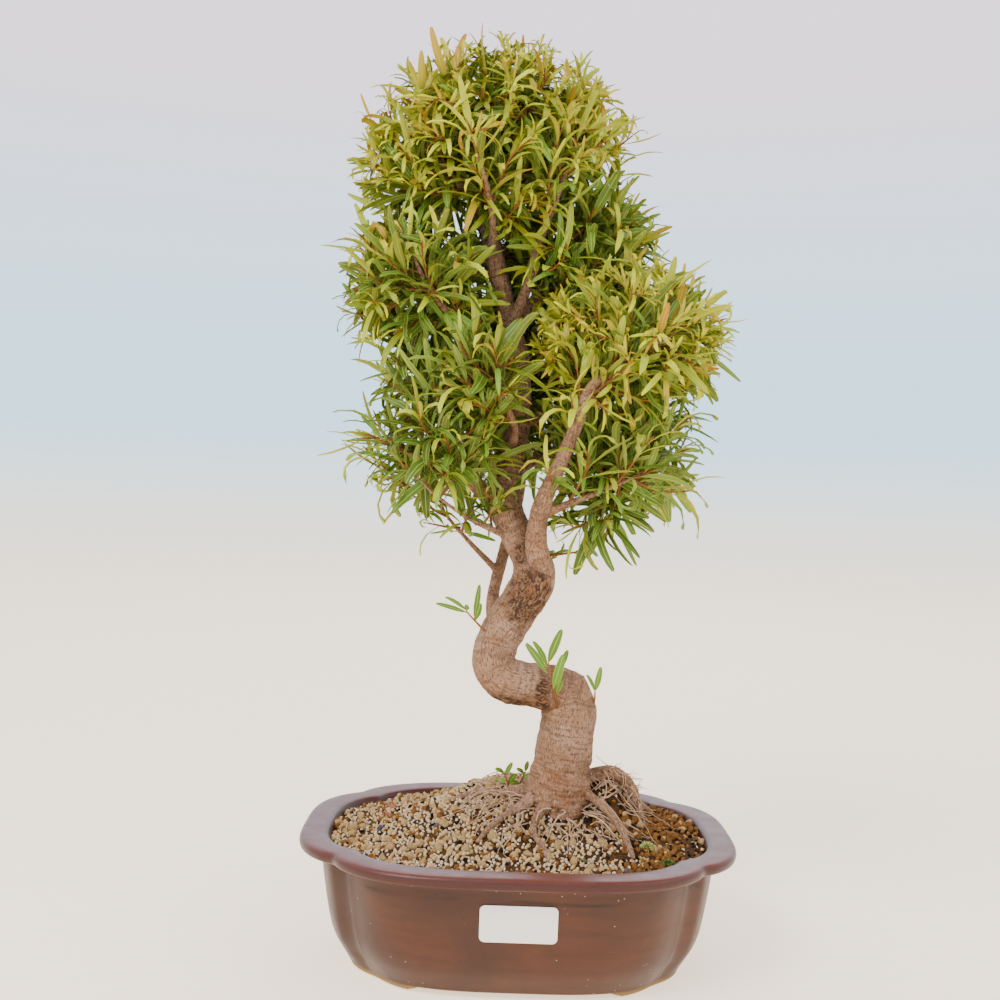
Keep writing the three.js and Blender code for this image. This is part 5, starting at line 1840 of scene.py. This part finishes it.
class BONSAI_OT_foliage(bpy.types.Operator):
    """Grows the shoots with their leaves and buds"""

    bl_idname = "bonsai.foliage"
    bl_label = "Foliage"

    def execute(self, context):
        leaves, wood = context.scene.bonsai_leaves, context.scene.bonsai_wood
        random.seed(leaves.seed + 2)
        routes = wood_routes()
        foliage = Foliage(leaves, routes)
        shoots = crown_shoots(leaves, routes)
        for start, end, way in shoots:
            clump = CLUMPS[crown_depth(end)[1]]
            foliage.grow(start, end, way, youth=clump[2])
        for start, end, way in crown_tufts(shoots):
            foliage.add_tuft(start, end, way)
        for stem, blades in SMALL_SHOOTS:
            foliage.add_small_shoot(stem, blades)
        for start, end, count, size, youth in LOW_SHOOTS:
            start, end = Vector(start), Vector(end)
            foliage.grow(start, end, (end - start).normalized(), count, size, youth)
        twig = twig_finish(wood)
        dress(grow_stems("twigs", foliage.twigs, twig), twig)
        shapes = as_collection("leaf_shapes", leaf_meshes())
        tips = as_collection("bud_shapes", [blade_mesh("bud", 0.3, 0, narrowed(BUD_STATIONS, 0.2))])
        tree = blade_tree()
        young = leaf_finish("young_leaf", leaves.young, leaves)
        mature = leaf_finish("mature_leaf", shade(leaves.mature, 1.9), leaves)
        for name, finish, slot, blades in (
                ("young_leaves", young, "young_leaf", shapes), ("mature_leaves", mature, "leaf", shapes),
                ("inner_leaves", mature, "leaf", shapes), ("tip_buds", twig, "young_leaf", tips)):
            values = {"Blades": blades, "Material": finish}
            nodes = nodes_of(slot) if name in ("young_leaves", "mature_leaves") else []
            dress(run_tree(name, foliage.points_mesh(name), tree, values), finish, nodes)
        discard(shapes)
        discard(tips)
        return {"FINISHED"}


class BONSAI_OT_stage(bpy.types.Operator):
    """Makes the camera, the floor and the soft light"""

    bl_idname = "bonsai.stage"
    bl_label = "Stage"

    def execute(self, context):
        settings = context.scene.bonsai_stage
        make_camera(context.scene)
        make_floor(settings)
        make_lights(context.scene, settings)
        return {"FINISHED"}


# The camera's place in millimetres, its lens, and its dip and roll, as they were fitted to the photo.
CAMERA = {"place": (-14.2, -614.4, 239), "focal": 43.92, "sensor": 36, "dip": math.atan(22 / 1220),
          "roll": math.radians(1.9)}


def make_camera(scene):
    camera = bpy.data.objects.new("camera", bpy.data.cameras.new("camera"))
    scene.collection.objects.link(camera)
    dip, roll = CAMERA["dip"], CAMERA["roll"]
    level_up = Vector((0, math.sin(dip), math.cos(dip)))
    right = Vector((1, 0, 0)) * math.cos(roll) + level_up * math.sin(roll)
    up = level_up * math.cos(roll) - Vector((1, 0, 0)) * math.sin(roll)
    turn = Matrix((right, up, right.cross(up))).transposed().to_4x4()
    camera.matrix_world = Matrix.Translation(Vector(CAMERA["place"]) * MM) @ turn
    camera.data.lens, camera.data.sensor_width = CAMERA["focal"], CAMERA["sensor"]
    camera.data.clip_start, camera.data.clip_end = 0.01, 100
    scene.camera = camera


# The floor in metres: its flat rings, the sweep's radius and steps, and its top edge, then the heights
# between which its colour turns to the backdrop's and to that of the backdrop's top.
FLOOR = {"sides": 64, "rings": (0.4, 0.8, 1.4), "sweep": 2.6, "steps": 18, "top": (4.05, 4),
         "horizon": (0.02, 0.35), "sky": (0.6, 1.6)}


def make_floor(settings):
    """A wide pale floor that sweeps up far behind the part on every side."""
    sides, sweep = FLOOR["sides"], FLOOR["sweep"]
    profile = [(radius, 0) for radius in FLOOR["rings"]]
    profile += [(FLOOR["rings"][-1] + sweep * math.sin(angle), sweep - sweep * math.cos(angle))
                for angle in np.linspace(0.1, TURN / 4, FLOOR["steps"])]
    profile.append(FLOOR["top"])
    points = [(0, 0, 0)]
    for radius, height in profile:
        points += [(radius * math.cos(TURN * k / sides) / MM, radius * math.sin(TURN * k / sides) / MM,
                    height / MM) for k in range(sides)]
    faces = [(0, 1 + k, 1 + (k + 1) % sides) for k in range(sides)]
    for row in range(len(profile) - 1):
        for k in range(sides):
            a, b = 1 + row * sides + k, 1 + row * sides + (k + 1) % sides
            faces.append((a, a + sides, b + sides, b))
    floor = new_piece("floor", mesh_of("floor", points, faces))
    finish = Finish("floor_paint", Roughness=1, Specular_IOR_Level=0)
    height = finish.axis("Z")
    colour = finish.blend(finish.span(height, *FLOOR["horizon"]), settings.floor, settings.backdrop)
    colour = finish.blend(finish.span(height, *FLOOR["sky"]), colour, settings.backdrop_top)
    finish.put(finish.shader.inputs["Emission Color"], colour)
    finish.shader.inputs["Emission Strength"].default_value = settings.glow
    floor.data.materials.append(finish.done(colour))


# The lamps, each as its name, its place in metres, its width and its power, and the point they face.
LIGHTS = [
    ("key_light", (-0.9, -1.1, 1.5), 0.9, 31), ("fill_light", (1.3, -0.9, 0.9), 1.3, 6),
    ("back_light", (0.2, 1.3, 1.3), 1.4, 10),
]
LIT_POINT = Vector((0, 0, 0.22))
SKY_COLOUR, SKY_STRENGTH = (0.93, 0.95, 1, 1), 0.3


def make_lights(scene, settings):
    world = scene.world or bpy.data.worlds.new("studio")
    scene.world = world
    world.use_nodes = True
    background = next(n for n in world.node_tree.nodes if n.type == "BACKGROUND")
    background.inputs["Color"].default_value = SKY_COLOUR
    background.inputs["Strength"].default_value = SKY_STRENGTH * settings.light
    for name, place, size, power in LIGHTS:
        lamp = bpy.data.lights.new(name, "AREA")
        lamp.shape, lamp.size, lamp.energy = "DISK", size, power * settings.light
        light = bpy.data.objects.new(name, lamp)
        scene.collection.objects.link(light)
        light.location = place
        light.rotation_euler = (LIT_POINT - Vector(place)).to_track_quat("-Z", "Y").to_euler()


class BONSAI_PT_panel(bpy.types.Panel):
    """Lists the steps that build the tree"""

    bl_idname = "BONSAI_PT_panel"
    bl_label = "Bonsai"
    bl_space_type = "VIEW_3D"
    bl_region_type = "UI"
    bl_category = "Bonsai"

    def draw(self, context):
        for step in STEPS:
            self.layout.operator(step.bl_idname)
        for name in SETTINGS:
            group = getattr(context.scene, name)
            box = self.layout.box()
            for setting in group.bl_rna.properties:
                if not setting.is_readonly and setting.identifier != "name":
                    box.prop(group, setting.identifier)


SETTINGS = {
    "bonsai_pot": BonsaiPotSettings, "bonsai_mix": BonsaiMixSettings, "bonsai_wood": BonsaiWoodSettings,
    "bonsai_leaves": BonsaiLeafSettings, "bonsai_stage": BonsaiStageSettings,
}
STEPS = [BONSAI_OT_stage, BONSAI_OT_pot, BONSAI_OT_label, BONSAI_OT_drain_meshes, BONSAI_OT_mix,
         BONSAI_OT_wood, BONSAI_OT_foliage]
CLASSES = [*SETTINGS.values(), *STEPS, BONSAI_PT_panel]


def register():
    for cls in CLASSES:
        bpy.utils.register_class(cls)
    for name, cls in SETTINGS.items():
        setattr(bpy.types.Scene, name, PointerProperty(type=cls))


def unregister():
    for name in SETTINGS:
        delattr(bpy.types.Scene, name)
    for cls in reversed(CLASSES):
        bpy.utils.unregister_class(cls)


def main():
    register()
    for step in STEPS:
        section, name = step.bl_idname.split(".")
        getattr(getattr(bpy.ops, section), name)()


if __name__ == "__main__":
    main()
